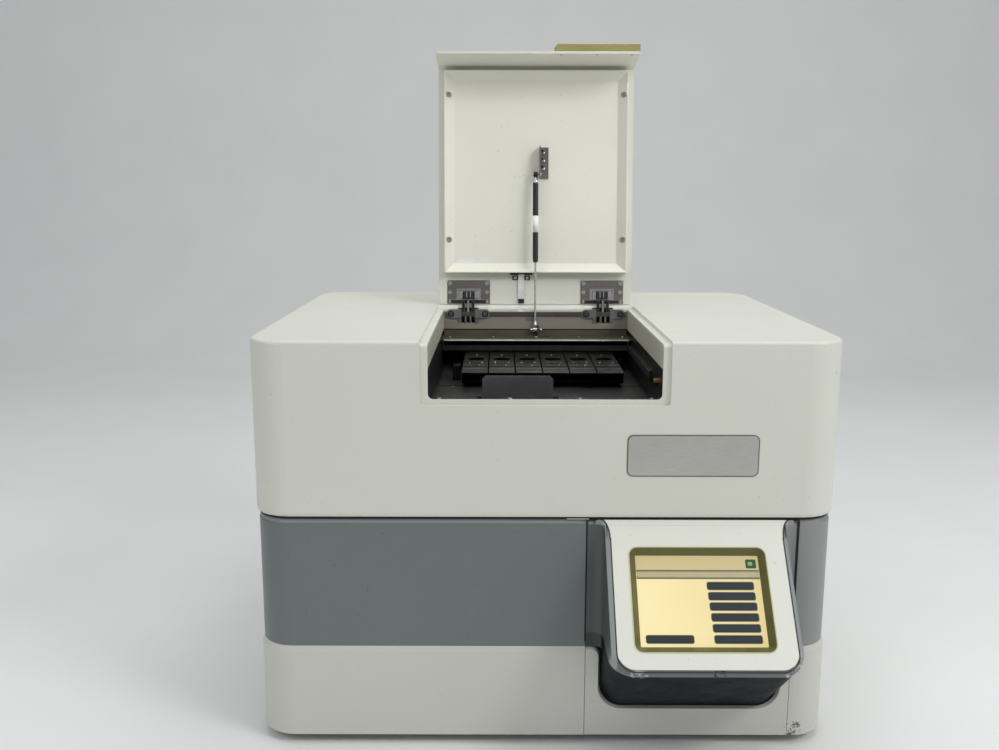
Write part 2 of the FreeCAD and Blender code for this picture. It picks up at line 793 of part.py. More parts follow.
def box_part(name, corner, sizes):
    """A plain block with its low corner at a given spot."""
    item = doc.addObject("Part::Box", name)
    for key, value in zip(("Length", "Width", "Height"), sizes):
        item.setExpression(key, size(value).formula)
    move_to(item, corner)
    return item


def cylinder_part(name, spot, radius, height, turn):
    """A round bar that starts at a spot and runs the way the turn points its axis."""
    item = doc.addObject("Part::Cylinder", name)
    item.setExpression("Radius", size(radius).formula)
    item.setExpression("Height", size(height).formula)
    item.Placement.Rotation = turn
    move_to(item, spot)
    return item


def screw_part(spot, turn, radius):
    """A round screw head with a six-sided socket, sitting on a surface at a spot."""
    head = cylinder_part("head", spot, radius, screw_height, turn)
    way = turn.multVec(Vector(0, 0, 1))
    inside = [size(value) + screw_height * round(part * 0.35, 4)
              for value, part in zip(spot, (way.x, way.y, way.z))]
    socket = doc.addObject("Part::Prism", "socket")
    socket.Polygon = 6
    socket.setExpression("Circumradius", (size(radius) * 0.5).formula)
    socket.setExpression("Height", screw_height.formula)
    socket.Placement.Rotation = turn
    move_to(socket, inside)
    screw = doc.addObject("Part::Cut", "screw")
    screw.Base = head
    screw.Tool = socket
    return screw


def screws(label, spots, turn, radius=None, placement=None):
    radius = screw_radius if radius is None else radius
    return gather(label, [screw_part(spot, turn, radius) for spot in spots], placement)


def make_stage():
    """Moving stage: slotted base, one top plate per cartridge and its runners."""
    base = Piece("stage_base")
    start = front + stage_front + plate_overhang
    length = stage_back - stage_front - plate_overhang
    base.pad("XY_Plane", base_low, base_thick,
             rectangle(stage_left + 1, stage_right - 1, start, start + length))
    first = stage_left + (slot_pitch - slot_width) / 2
    base.pocket("XZ_Plane", start - 1, length - 4,
                rectangle(first, first + slot_width, plate_low - slot_height, plate_low + 1))
    base.pattern("X_Axis", slot_pitch, slot_count)

    fixings = []
    near = front + stage_front
    groove = near + 33
    for number in range(int(slot_count.value)):
        left = stage_left + slot_pitch * number + plate_seam / 2
        right = left + slot_pitch - plate_seam
        middle = (left + right) / 2
        plate = Piece("cartridge_plate_%d" % (number + 1))
        plate.pad("YZ_Plane", left, right - left, [
            (near, plate_low), (front + stage_back, plate_low), (front + stage_back, plate_top),
            (groove + 1.2, plate_top), (groove + 1.2, plate_top - 0.8),
            (groove, plate_top - 0.8), (groove, plate_top - 0.2), (near, plate_top - 1.6)])
        window = near + 97
        plate.pocket("XY_Plane", plate_low - 1, plate_thick + 2,
                     rectangle(middle - 10, middle + 10, window - 2.4, window + 2.4),
                     circle(middle, near + 131, 2))
        plate.fillet(2.3, any_of(*[on_line(Z_AXIS, x, y) for x in (middle - 10, middle + 10)
                                   for y in (window - 2.4, window + 2.4)]))
        fixings += [(middle - 9, near + 62, plate_top), (middle + 9, near + 62, plate_top)]
    screws("cartridge_screws", fixings, UP, size(2))

    for side, name in ((-1, "left"), (1, "right")):
        runner = Piece("runner_" + name)
        centre = stage_centre + rail_spacing / 2 * side
        inner = rail_width / 2 + running_gap
        outer = inner + runner_wall
        low = bay_floor + 0.5
        ceiling = bay_floor + rail_height + running_gap
        runner.pad("XZ_Plane", start + 20, runner_length, [
            (centre - outer, low), (centre - inner, low), (centre - inner, ceiling),
            (centre + inner, ceiling), (centre + inner, low), (centre + outer, low),
            (centre + outer, base_low), (centre - outer, base_low)])


def lid_pose():
    """Placement that swings a piece drawn on the closed lid to the open pose."""
    turn = FreeCAD.Rotation(Vector(1, 0, 0), -open_angle.value)
    return FreeCAD.Placement(Vector(0, 0, 0), turn, Vector(0, pivot_y.value, pivot_z.value))


def make_lid():
    """Top panel with its front lip, liner pan, pull bar and strike, drawn closed."""
    shell = Piece("lid_shell", lid_pose())
    lip_bottom = body_height - lip_length
    lid_right = lid_left + lid_width
    lip_out = front - lip_flare
    lip_in = lip_out + lid_wall
    shell.pad("YZ_Plane", lid_left, lid_width, [
        (front, body_height), (lid_back, body_height), (lid_back, lid_inside),
        (front + lid_wall, lid_inside), (lip_in, lip_bottom), (lip_out, lip_bottom)])
    corners = [on_line(Z_AXIS, x, lid_back) for x in (lid_left, lid_right)]
    corners += [on_line(Y_AXIS, x, lip_bottom) for x in (lid_left, lid_right)]
    shell.fillet(lid_corner - 1, any_of(*corners))
    shell.fillet(lid_round, on_line(X_AXIS, front + lid_wall, lid_inside))
    shell.fillet(cover_edge, on_line(X_AXIS, front, body_height))
    for side, centre in hinge_centres():
        shell.pocket("XY_Plane", lid_inside - 1, plate_sink + 1,
                     rectangle(centre - plate_width / 2 - 0.4, centre + plate_width / 2 + 0.4,
                               lid_back - plate_height - 1, lid_back + 1))
    grip_level = lip_bottom + grip_end / 2
    grip = [(lid_right - grip_end - grip_pitch * number, grip_level) for number in range(3)]
    grip_seat = lip_in - screw_height
    shell.pocket("XZ_Plane", grip_seat, lid_wall * 2, *[
        circle(x, z, handle_screw + running_gap) for x, z in grip])
    screws("handle_screws", [(x, grip_seat, z) for x, z in grip], BACK, handle_screw, lid_pose())

    liner = Piece("lid_liner", lid_pose())
    left, right = bay_left + liner_gap, bay_right - liner_gap
    near, far = front + lid_wall + 6, lid_back - liner_start
    low = lid_inside - liner_depth
    liner.pad("XY_Plane", low, liner_depth, rectangle(left, right, near, far))
    mouth = liner.sketch("XY_Plane", low, [rectangle(
        left + liner_rim, right - liner_rim, near + liner_rim, far - liner_rim)])
    floor = liner.sketch("XY_Plane", lid_inside - liner_floor, [rectangle(
        left + liner_border, right - liner_border, near + liner_border, far - liner_border)])
    loft = liner.body.newObject("PartDesign::SubtractiveLoft", "lid_liner_loft")
    loft.Profile = mouth
    loft.Sections = [floor]
    loft.Ruled = True
    doc.recompute()
    notch = near + 16
    liner.pocket("XY_Plane", low - 1, 5, rectangle(right - liner_rim - 1, right + 1, notch, notch + 20))
    spots = [(x, y) for x in (left + liner_screw, right - liner_screw)
             for y in (near + liner_screw_near, far - liner_screw_far)]
    seat = lid_inside - 4
    liner.pocket("XY_Plane", low - 1, seat - low + 1, *[circle(x, y, 4.2) for x, y in spots])
    screws("liner_screws", [(x, y, seat) for x, y in spots], DOWN, placement=lid_pose())

    handle = Piece("lid_handle", lid_pose())
    start = lid_right - handle_length
    top = lip_bottom + handle_height
    slope = lip_flare / lip_length
    outside = lip_out - handle_reach
    handle.pad("YZ_Plane", start, handle_length, [
        (outside, lip_bottom), (lip_out, lip_bottom), (lip_out + handle_height * slope, top),
        (outside, top)])
    handle.chamfer(handle_bevel, on_line(Z_AXIS, start, outside))
    handle.fillet(1, any_of(on_line(X_AXIS, outside, lip_bottom), on_line(X_AXIS, outside, top)))

    strike = Piece("latch_strike", lid_pose())
    strike.pad("XY_Plane", lid_inside - strike_thick, strike_thick, rectangle(
        strike_centre - strike_width / 2, strike_centre + strike_width / 2,
        lid_back - strike_length - 1, lid_back - 1))


def make_hinges():
    """Concealed hinges: a leaf with fixed fingers in the cover, a pin, and on the lid a bar
    with three swan-necked fingers that pass between the fixed ones."""
    pins = []
    leaf_spots = []
    plate_spots = []
    half_arm = arm_width / 2
    half_slot = hinge_slot / 2
    reach = half_slot + cheek
    wall = front + bay_back
    low, high = seat_top - leaf_height, seat_top
    deep = slot_low + running_gap
    web = pivot_y + knuckle_radius + 0.5
    stem = pivot_y - arm_reach
    step_back = stem + arm_thick + 1.3
    finger = (arm_width - finger_gap * (finger_count - 1)) / finger_count
    pitch = finger + finger_gap
    cheek_side = [
        (wall - 1, deep), (web + sheet_metal, deep), (web + sheet_metal, high - running_gap),
        (step_back, high - running_gap), (step_back, bar_low - running_gap),
        (wall - 1, bar_low - running_gap)]
    for side, centre in hinge_centres():
        leaf = Piece("hinge_leaf_" + side)
        left, right = centre - leaf_width / 2, centre + leaf_width / 2
        leaf.pad("XZ_Plane", wall - sheet_metal, sheet_metal,
                 rectangle(left, centre - half_slot, low, high),
                 rectangle(centre + half_slot, right, low, high))
        ends = [on_line(Y_AXIS, x, level) for x in (left, right) for level in (low, high)]
        leaf.fillet(leaf_height / 2 - 0.2, any_of(*ends))
        for x in (centre - reach, centre + half_slot):
            leaf.pad("YZ_Plane", x, cheek, cheek_side)
        leaf.pad("XZ_Plane", web, sheet_metal,
                 rectangle(centre - reach, centre + reach, deep, high - running_gap))
        leaf.pad("YZ_Plane", centre - half_arm + finger + running_gap, finger_gap - running_gap * 2,
                 rectangle(wall - sheet_metal / 2, web + 1, deep, pivot_z - knuckle_radius - 0.6))
        leaf.pattern("X_Axis", pitch, finger_count - 1)
        leaf.pocket("YZ_Plane", centre - reach - 1, reach * 2 + 2,
                    circle(pivot_y, pivot_z, pin_radius))
        pins.append(cylinder_part("pin", (centre - reach, pivot_y, pivot_z),
                                  pin_radius - 0.01, reach * 2, RIGHT))
        for x in (left + leaf_height / 2, right - leaf_height / 2):
            leaf_spots.append((x, wall - sheet_metal, (low + high) / 2))

        arm = Piece("hinge_arm_" + side, lid_pose())
        heel = pivot_z - arm_drop
        arm.pad("XY_Plane", bar_low, bar_thick,
                rectangle(centre - bar_half, centre + bar_half, stem, stem + arm_thick))
        arm.pad("YZ_Plane", centre - half_arm, finger, [
            (stem, bar_low + 1), (stem + arm_thick, bar_low + 1),
            (stem + arm_thick, heel + heel_thick), (pivot_y - 1.5, heel + heel_thick),
            (pivot_y - 1.5, pivot_z), (pivot_y + 4.5, pivot_z), (pivot_y + 4.5, heel), (stem, heel)])
        arm.pattern("X_Axis", pitch, finger_count)
        arm.pad("YZ_Plane", centre - half_arm, arm_width, circle(pivot_y, pivot_z, knuckle_radius))
        arm.pocket("YZ_Plane", centre - half_arm - 1, arm_width + 2,
                   circle(pivot_y, pivot_z, pin_radius + pin_clearance))
        far = lid_back - 0.6
        window = far - window_start - window_height
        arm.pad("XY_Plane", hinge_plate_low - 1, 1,
                rectangle(centre - half_arm, centre + half_arm, window + 3, stem + 1))
        arm.pad("XY_Plane", hinge_plate_low, plate_metal, rectangle(
            centre - window_half + 2, centre + window_half - 2, window + 2,
            window + window_height - 2))

        plate = Piece("lid_hinge_plate_" + side, lid_pose())
        plate.pad("XY_Plane", hinge_plate_low, plate_metal,
                  rectangle(centre - plate_width / 2, centre + plate_width / 2,
                            far - plate_height, far))
        plate.fillet(3, any_of(*[on_line(Z_AXIS, x, far - plate_height)
                                 for x in (centre - plate_width / 2, centre + plate_width / 2)]))
        plate.pocket("XY_Plane", hinge_plate_low - 1, plate_metal + 2, rectangle(
            centre - window_half, centre + window_half, window, window + window_height))
        edge = plate_width / 2 - screw_radius - 1
        for x in (centre - edge, centre + edge):
            plate_spots += [(x, far - 30, hinge_plate_low), (x, far - 17, hinge_plate_low)]
    gather("hinge_pins", pins)
    screws("hinge_leaf_screws", leaf_spots, FORWARD)
    screws("hinge_plate_screws", plate_spots, DOWN, placement=lid_pose())


def make_strut():
    """Gas strut with its foot bracket, lid bracket, rod and tube."""
    foot_y = front + strut_foot_back
    foot_z = strut_foot_height
    fork = strut_x + eye_width / 2
    foot = Piece("strut_foot_bracket")
    foot.pad("XY_Plane", shelf_height, sheet_metal,
             rectangle(fork + 0.5, fork + 18, foot_y - 15, foot_y + 5))
    foot.pad("YZ_Plane", fork + 0.5, sheet_metal,
             rectangle(foot_y - 6, foot_y + 5, shelf_height + 1, foot_z + 6))
    foot.pad("YZ_Plane", fork - eye_width - 0.5, eye_width + 1.5, circle(foot_y, foot_z, stud_radius))

    ball_y = lid_back - strut_ball_run
    ball_z = lid_inside - strut_ball_drop
    under_liner = lid_inside - liner_floor
    lid_bracket = Piece("strut_lid_bracket", lid_pose())
    lid_bracket.pad("XY_Plane", under_liner - sheet_metal, sheet_metal,
                    rectangle(fork + 2.5, fork + 16, ball_y - 40, ball_y + 5))
    lid_bracket.pad("YZ_Plane", fork + 2.5, 1.5,
                    rectangle(ball_y - 40, ball_y + 5, ball_z - 5, under_liner))
    lid_bracket.pad("YZ_Plane", fork + 0.3, 3, circle(ball_y, ball_z, stud_radius))

    side = ball_y - pivot_y
    drop = ball_z - pivot_z
    open_y = pivot_y + side * cosine(open_angle) + drop * sine(open_angle)
    open_z = pivot_z - side * sine(open_angle) + drop * cosine(open_angle)
    run = open_y.value - foot_y.value
    rise = open_z.value - foot_z.value
    reach = math.hypot(run, rise)
    lean = FreeCAD.Rotation(Vector(1, 0, 0), -math.degrees(math.atan2(run, rise)))
    pose = FreeCAD.Placement(Vector(strut_x.value, foot_y.value, foot_z.value), lean)
    length = Size(reach, "sqrt((%s - %s)^2 + (%s - %s)^2)" % (
        open_y.formula, foot_y.formula, open_z.formula, foot_z.formula))
    half_eye = eye_width / 2
    rod = Piece("strut_rod", pose)
    rod.pad("XY_Plane", eye_radius - 0.8, rod_length, circle(0, 0, rod_radius))
    rod.pad("YZ_Plane", -half_eye, eye_width, circle(0, 0, eye_radius))
    rod.pocket("YZ_Plane", -half_eye - 1, eye_width + 2, circle(0, 0, stud_radius + pin_clearance))

    tube = Piece("strut_tube", pose)
    start = length - tube_length - tube_neck
    tube.pad("XY_Plane", start, tube_length, circle(0, 0, tube_radius))
    tube.fillet(1, at_level(start))
    tube.fillet(1, at_level(start + tube_length))
    tube.pad("XY_Plane", start + tube_length, tube_neck - eye_radius + 0.8, circle(0, 0, 2.2))
    tube.pad("YZ_Plane", -half_eye, eye_width, circle(0, length, eye_radius))
    tube.pocket("YZ_Plane", -half_eye - 1, eye_width + 2,
                circle(0, length, stud_radius + pin_clearance))
    tube.pocket("XY_Plane", start - 1, tube_bore + 1, circle(0, 0, rod_radius + pin_clearance))


def make_console():
    """Panel with the tilted pod, its face plate, bezel and display."""
    pod_left = pod_centre - pod_width / 2
    pod_right = pod_centre + pod_width / 2
    panel_left = console_left + seam_gap
    panel_right = console_right - seam_gap
    near = front + band_inset
    behind = front + shell_wall
    root = band_top - pod_run / cosine(pod_tilt)
    nose_y = near - pod_run * sine(pod_tilt)
    nose_z = band_top - pod_run * cosine(pod_tilt)

    housing = Piece("console_housing")
    housing.pad("YZ_Plane", pod_left, pod_width, [(near, band_top), (nose_y, nose_z), (near, root)])
    housing.fillet(pod_corner, pod_underside(near, root))
    housing.chamfer(rim_width, pod_rim(near), rim_bevel)
    blend_low = base_top + seam_gap
    housing.pad("XY_Plane", blend_low, band_top - blend_low,
                rectangle(pod_left - pod_blend, pod_left + 1, near - pod_blend, near),
                rectangle(pod_right - 1, pod_right + pod_blend, near - pod_blend, near))
    housing.pocket("XY_Plane", blend_low - 1, band_top - blend_low + 2,
                   circle(pod_left - pod_blend, near - pod_blend, pod_blend),
                   circle(pod_right + pod_blend, near - pod_blend, pod_blend))
    housing.sunk_pocket(-pod_hollow * 2, pod_hollow * 2, rectangle(
        pod_left - pod_blend - 1, pod_right + pod_blend + 1, -pod_run - 1, pod_hollow))
    for left, right in ((panel_left, pod_left), (pod_right, panel_right)):
        housing.pad("YZ_Plane", left, right - left, [
            (near, blend_low), (near + band_wall, blend_low), (near + band_wall, band_top),
            (near + band_chamfer, band_top), (near, band_top - ledge_height)])
    housing.pad("XZ_Plane", near, band_wall, rectangle(pod_left, pod_right, blend_low, band_top))
    housing.pad("XZ_Plane", near, band_wall,
                rectangle(pod_left - 1, pod_right + 1, root - 1, base_top + seam_gap * 2))
    housing.fillet(pod_corner, any_of(on_line(Y_AXIS, pod_left - 1, root - 1),
                                      on_line(Y_AXIS, pod_right + 1, root - 1)))
    housing.pad("XZ_Plane", behind, flange_thick,
                rectangle(console_left - flange_lap, console_right + flange_lap,
                          base_top + 6, band_top - 6))
    depth = pod_hollow
    end = pod_run - pod_wall
    back = behind + flange_thick + 1
    slope_y, slope_z = sine(pod_tilt), cosine(pod_tilt)
    deep_y, deep_z = near + depth * slope_z, band_top - depth * slope_y
    start = (deep_y - back) / slope_y
    run = (end * slope_y + back - near) / slope_z
    housing.pocket("YZ_Plane", pod_left + side_wall, pod_width - side_wall * 2, [
        (back, deep_z - start * slope_z), (deep_y - end * slope_y, deep_z - end * slope_z),
        (back, band_top - end * slope_z - run * slope_y)])
    face_end = pod_run - rim_width
    face_left, face_right = pod_left + rim_width, pod_right - rim_width
    for shape in face_outline(face_left, face_right, face_end, face_start):
        housing.sunk_pocket(0, face_thick, shape)
    bezel_left = screen_centre - screen_width / 2 - bezel_margin
    bezel_right = screen_centre + screen_width / 2 + bezel_margin
    bezel_top = -(screen_start - bezel_margin)
    bezel_low = -(screen_start + screen_height + bezel_margin)
    well = rectangle(bezel_left, bezel_right, bezel_low, bezel_top)
    housing.sunk_pocket(face_thick - 0.5, bezel_depth + display_thick - face_thick + 1, well)

    plate = Piece("console_face")
    gap = face_gap
    for shape in face_outline(face_left + gap, face_right - gap, face_end - gap, face_start + gap):
        plate.sunk_pad(0, face_thick, shape)
    plate.sunk_pocket(-1, face_thick + 2, rounded(
        bezel_left, bezel_right, bezel_low, bezel_top, bezel_corner))

    bezel = Piece("screen_bezel")
    trim = size(0.3)
    bezel.sunk_pad(0, bezel_depth, rounded(
        bezel_left + trim, bezel_right - trim, bezel_low + trim, bezel_top - trim,
        bezel_corner - trim))
    inset = bezel_metal + trim
    outer = bezel.tilted(0, [rounded(
        bezel_left + inset, bezel_right - inset, bezel_low + inset, bezel_top - inset,
        bezel_corner - inset)])
    inner = bezel.tilted(bezel_depth, [rounded(
        bezel_left + bezel_margin, bezel_right - bezel_margin,
        bezel_low + bezel_margin, bezel_top - bezel_margin, size(1))])
    loft = bezel.body.newObject("PartDesign::SubtractiveLoft", "screen_bezel_loft")
    loft.Profile = outer
    loft.Sections = [inner]
    loft.Ruled = True
    doc.recompute()

    display = Piece("touch_display")
    display.sunk_pad(bezel_depth, display_thick, rectangle(
        bezel_left + 4, bezel_right - 4, bezel_low + 4, bezel_top - 4))

    lower = Piece("console_lower_panel")
    notch = notch_gap
    notch_left, notch_right = pod_left - notch, pod_right + notch
    notch_low = root - notch
    lower.pad("XZ_Plane", front, shell_wall, [
        (panel_left, foot_height + 0.3), (panel_right, foot_height + 0.3), (panel_right, base_top),
        (notch_right, base_top), (notch_right, notch_low), (notch_left, notch_low),
        (notch_left, base_top), (panel_left, base_top)])
    lower.fillet(pod_corner, any_of(on_line(Y_AXIS, notch_left, notch_low),
                                    on_line(Y_AXIS, notch_right, notch_low)))
    lower.fillet(horn_round, any_of(on_line(Y_AXIS, notch_left, base_top),
                                    on_line(Y_AXIS, notch_right, base_top)))
    lower.chamfer(ledge_height, notch_rim(panel_left, panel_right), band_inset)
    lower.pad("XZ_Plane", behind, flange_thick,
              rectangle(console_left - flange_lap, notch_left - 2, foot_height + 6, base_top - 6),
              rectangle(notch_right + 2, console_right + flange_lap, foot_height + 6, base_top - 6))


def pod_underside(near, root):
    """Test for the edges where the pod's sides meet its sloping underside."""
    def test(edge):
        if not isinstance(edge.Curve, Part.Line) or abs(edge.Curve.Direction.x) > 1e-6:
            return False
        for end in edge.Vertexes:
            rise = (end.Point.z - root.value) * cosine(pod_tilt).value
            reach = (end.Point.y - near.value) * sine(pod_tilt).value
            if abs(rise + reach) > tolerance:
                return False
        return True
    return test


def pod_rim(near):
    """Test for the rim around the pod's face, without its top edge."""
    return lambda edge: on_face(edge, near) and edge.BoundBox.ZMin < band_top.value - 1


def notch_rim(left, right):
    """Test for the lower panel's front edges along its top and around its notch."""
    def test(edge):
        box = edge.BoundBox
        if not (close(box.YMin, front) and close(box.YMax, front)):
            return False
        on_side = close(box.XMin, left) and close(box.XMax, left)
        on_side = on_side or close(box.XMin, right) and close(box.XMax, right)
        return not on_side and box.ZMin > foot_height.value + 1
    return test


def on_face(edge, near):
    """True for an edge that lies whole in the pod's front plane."""
    for parameter in (edge.FirstParameter, (edge.FirstParameter + edge.LastParameter) / 2,
                      edge.LastParameter):
        point = edge.valueAt(parameter)
        off = ((point.y - near.value) * -cosine(pod_tilt).value
               + (point.z - band_top.value) * sine(pod_tilt).value)
        if abs(off) > tolerance:
            return False
    return True


def face_outline(left, right, end, start):
    """The face's outline on the slope: round lower corners, square upper ones."""
    radius = pod_corner - rim_width
    return (rounded(left, right, -end, -start, radius),
            rectangle(left, right, -start - radius * 2, -start))


def make_rear():
    """Recessed rear panel with fan, power inlet, switch and sockets."""
    face = rear - shell_wall
    panel = Piece("rear_panel")
    lap = rear_lap
    half = rear_width / 2
    panel.pad("XZ_Plane", face - sheet_metal, sheet_metal,
              rectangle(-half - lap, half + lap, rear_low - lap, rear_high + lap))
    panel.pocket("XZ_Plane", face - sheet_metal - 1, sheet_metal + 2,
                 circle(fan_x, fan_z, fan_bore),
                 rectangle(inlet_x - inlet_half, inlet_x + inlet_half, inlet_z - 11, inlet_z + 11),
                 rectangle(switch_x - 9, switch_x + 9, inlet_z - 13, inlet_z + 13),
                 rectangle(ports_x - 32, ports_x + 32, inlet_z - 8, inlet_z + 8))
    spots = [(x, face, z) for x in (14 - half, half - 14)
             for z in (rear_low + 14, (rear_low + rear_high) / 2, rear_high - 14)]
    screws("rear_panel_screws", spots, BACK)

    inlet = Piece("power_inlet")
    inlet.pad("XZ_Plane", face, 3, rectangle(inlet_x - 24, inlet_x + 24, inlet_z - 14, inlet_z + 14))
    inlet.fillet(3, any_of(*[on_line(Y_AXIS, x, z) for x in (inlet_x - 24, inlet_x + 24)
                             for z in (inlet_z - 14, inlet_z + 14)]))
    inlet.pad("XZ_Plane", face - 22, 22.5, rectangle(
        inlet_x - inlet_half + 0.3, inlet_x + inlet_half - 0.3, inlet_z - 10.7, inlet_z + 10.7))
    inlet.pocket("XZ_Plane", face - 14, 20, [
        (inlet_x - 12, inlet_z - 8), (inlet_x + 12, inlet_z - 8), (inlet_x + 12, inlet_z + 3),
        (inlet_x + 7, inlet_z + 8), (inlet_x - 7, inlet_z + 8), (inlet_x - 12, inlet_z + 3)])
    inlet.pad("XZ_Plane", face - 15, 13, *[
        rectangle(inlet_x + x - 1, inlet_x + x + 1, inlet_z + z - 2, inlet_z + z + 2)
        for x, z in ((-7, -2), (0, 2), (7, -2))])

    frame = Piece("switch_frame")
    frame.pad("XZ_Plane", face, 2, rectangle(switch_x - 11, switch_x + 11, inlet_z - 15, inlet_z + 15))
    frame.pad("XZ_Plane", face - 20, 20.5,
              rectangle(switch_x - 8.8, switch_x + 8.8, inlet_z - 12.8, inlet_z + 12.8))
    frame.pocket("XZ_Plane", face - 12, 16, rectangle(
        switch_x - rocker_width / 2 - running_gap, switch_x + rocker_width / 2 + running_gap,
        inlet_z - 11.3, inlet_z + 11.3))
    pin_half = rocker_width / 2 + rocker_pin
    frame.pocket("YZ_Plane", switch_x - pin_half, pin_half * 2,
                 circle(face, inlet_z, rocker_pin + pin_clearance))
    turn = FreeCAD.Rotation(Vector(1, 0, 0), rocker_tilt.value)
    rocker = Piece("power_rocker", FreeCAD.Placement(
        Vector(switch_x.value, face.value, inlet_z.value), turn))
    tip = rocker_height / 2
    rocker.pad("YZ_Plane", -(rocker_width / 2), rocker_width, [
        (-6, -tip + 1.2), (2.4, -tip), (1.2, 0), (2.4, tip), (-6, tip - 1.2)])
    rocker.pad("YZ_Plane", -pin_half + running_gap, (pin_half - running_gap) * 2,
               circle(0, 0, rocker_pin))

    ports = Piece("io_ports")
    ports.pad("XZ_Plane", face - 18, 18.6, rectangle(
        ports_x - 31.7, ports_x + 31.7, inlet_z - 7.7, inlet_z + 7.7))
    ports.pad("XZ_Plane", face, 1, rectangle(ports_x - 35, ports_x + 35, inlet_z - 11, inlet_z + 11))
    ports.pocket("XZ_Plane", face - 14, 16,
                 rectangle(ports_x - 28, ports_x - 14.5, inlet_z - 3, inlet_z + 3),
                 rectangle(ports_x - 10, ports_x + 3.5, inlet_z - 3, inlet_z + 3),
                 rectangle(ports_x + 11, ports_x + 26, inlet_z - 6, inlet_z + 6))

    guard = Piece("fan_guard")
    rings = []
    for number in range(4):
        radius = 18 + 13 * number
        rings += [circle(fan_x, fan_z, radius + guard_wire), circle(fan_x, fan_z, radius - guard_wire)]
    guard.pad("XZ_Plane", face + guard_wire, guard_wire, *rings)
    bars = []
    for turn_x, turn_z in ((1, 1), (-1, 1), (-1, -1), (1, -1)):
        bars.append([(fan_x + turn_x * (size(a) - b), fan_z + turn_z * (size(a) + b))
                     for a, b in ((11, 0.8), (50, 0.8), (50, -0.8), (11, -0.8))])
    guard.pad("XZ_Plane", face, guard_wire * 2, *bars)

    housing = Piece("fan_frame")
    behind = face - sheet_metal
    edge = fan_size / 2
    housing.pad("XZ_Plane", behind - fan_depth, fan_depth,
                rectangle(fan_x - edge, fan_x + edge, fan_z - edge, fan_z + edge))
    housing.fillet(5, any_of(*[on_line(Y_AXIS, x, z) for x in (fan_x - edge, fan_x + edge)
                               for z in (fan_z - edge, fan_z + edge)]))
    housing.pocket("XZ_Plane", behind - fan_depth - 1, fan_depth + 2, circle(fan_x, fan_z, fan_bore))
    housing.pad("XZ_Plane", behind - fan_depth, 3,
                rectangle(fan_x - fan_bore - 1, fan_x + fan_bore + 1, fan_z - 4, fan_z + 4))
    housing.pad("XZ_Plane", behind - fan_depth, 3, circle(fan_x, fan_z, hub_radius))

    centre = Vector(fan_x.value, (behind - fan_depth + 3.5).value, fan_z.value)
    hub = cylinder_part("hub", (fan_x, behind - fan_depth + 3.5, fan_z), hub_radius, 20, BACK)
    pieces = [hub]
    for number in range(int(blade_count.value)):
        blade = doc.addObject("Part::Box", "blade")
        blade.setExpression("Length", (fan_bore - hub_radius - 3).formula)
        blade.setExpression("Width", size(1.8).formula)
        blade.setExpression("Height", (fan_depth - 8).formula)
        about = FreeCAD.Placement(centre, FreeCAD.Rotation(Vector(0, 1, 0),
                                                           360 / blade_count.value * number))
        pitch = FreeCAD.Placement(Vector(0, 10, 0), FreeCAD.Rotation(Vector(1, 0, 0), 50))
        blade.Placement = about * pitch * FreeCAD.Placement(Vector(19, -0.9, -8.5), UP)
        pieces.append(blade)
    rotor = doc.addObject("Part::MultiFuse", "fan_rotor")
    rotor.Shapes = pieces
    place(rotor, "fan_rotor")


def make_inside():
    """Main modules that stand inside the housing."""
    floor = foot_height + sheet_metal
    optics = Piece("imaging_head")
    window = front + optics_back
    shoulder = bay_floor - sheet_metal - optics_neck
    optics.pad("XY_Plane", floor, shoulder - floor, rectangle(
        stage_centre - optics_body, stage_centre + optics_body,
        window - optics_body, window + optics_body))
    optics.pad("XY_Plane", shoulder, optics_neck - 3, circle(stage_centre, window, optics_half - 4))
    supply = Piece("power_supply")
    supply.pad("XY_Plane", floor, 60, rectangle(160, 290, rear - 250, rear - 60))
    supply.pocket("XY_Plane", floor + 50, 12, rectangle(170, 280, rear - 240, rear - 234))
    supply.pattern("Y_Axis", 12, 14)


make_base()
make_bands()
make_top_cover()
make_bay()
make_stage()
make_lid()
make_hinges()
make_strut()
make_console()
make_rear()
make_inside()
near_sill = front + cover_wall + 4
screws("bay_screws",
       [(x, near_sill, sill_height - 1) for x in (-123.4, -41.7, 38.9, 121.2)]
       + [(bay_centre + shelf_screw_pitch * number, front + shelf_front + 10, shelf_height)
          for number in range(-2, 3)], UP)

doc.recompute()
faults = [item.Name for item in doc.Objects if "Invalid" in item.State or "Error" in item.State]
for item in finished:
    if item.Shape.isNull() or not item.Shape.isValid():
        faults.append(item.Label)
if faults:
    raise RuntimeError("not built: " + ", ".join(faults))
os.makedirs("parts", exist_ok=True)
for item in finished:
    item.Shape.exportStep("parts/%s.step" % item.Label)
print("%d sub-parts written" % len(finished))
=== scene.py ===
import math

import bmesh
import bpy
from mathutils import Matrix, Vector


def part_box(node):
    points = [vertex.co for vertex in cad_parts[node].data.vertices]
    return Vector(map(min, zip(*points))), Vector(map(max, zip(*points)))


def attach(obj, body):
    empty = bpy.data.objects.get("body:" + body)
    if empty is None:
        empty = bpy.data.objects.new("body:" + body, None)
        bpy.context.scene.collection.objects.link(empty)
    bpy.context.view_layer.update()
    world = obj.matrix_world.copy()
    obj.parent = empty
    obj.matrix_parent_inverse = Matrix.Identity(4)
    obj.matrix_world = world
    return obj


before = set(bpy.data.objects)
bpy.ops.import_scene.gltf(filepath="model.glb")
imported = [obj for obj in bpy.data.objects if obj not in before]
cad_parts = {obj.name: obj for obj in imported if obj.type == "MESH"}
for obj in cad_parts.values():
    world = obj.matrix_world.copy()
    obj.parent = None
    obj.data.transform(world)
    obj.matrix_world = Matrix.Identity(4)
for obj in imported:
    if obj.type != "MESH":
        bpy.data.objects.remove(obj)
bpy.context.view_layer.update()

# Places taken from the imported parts, in metres.
MM = 0.001
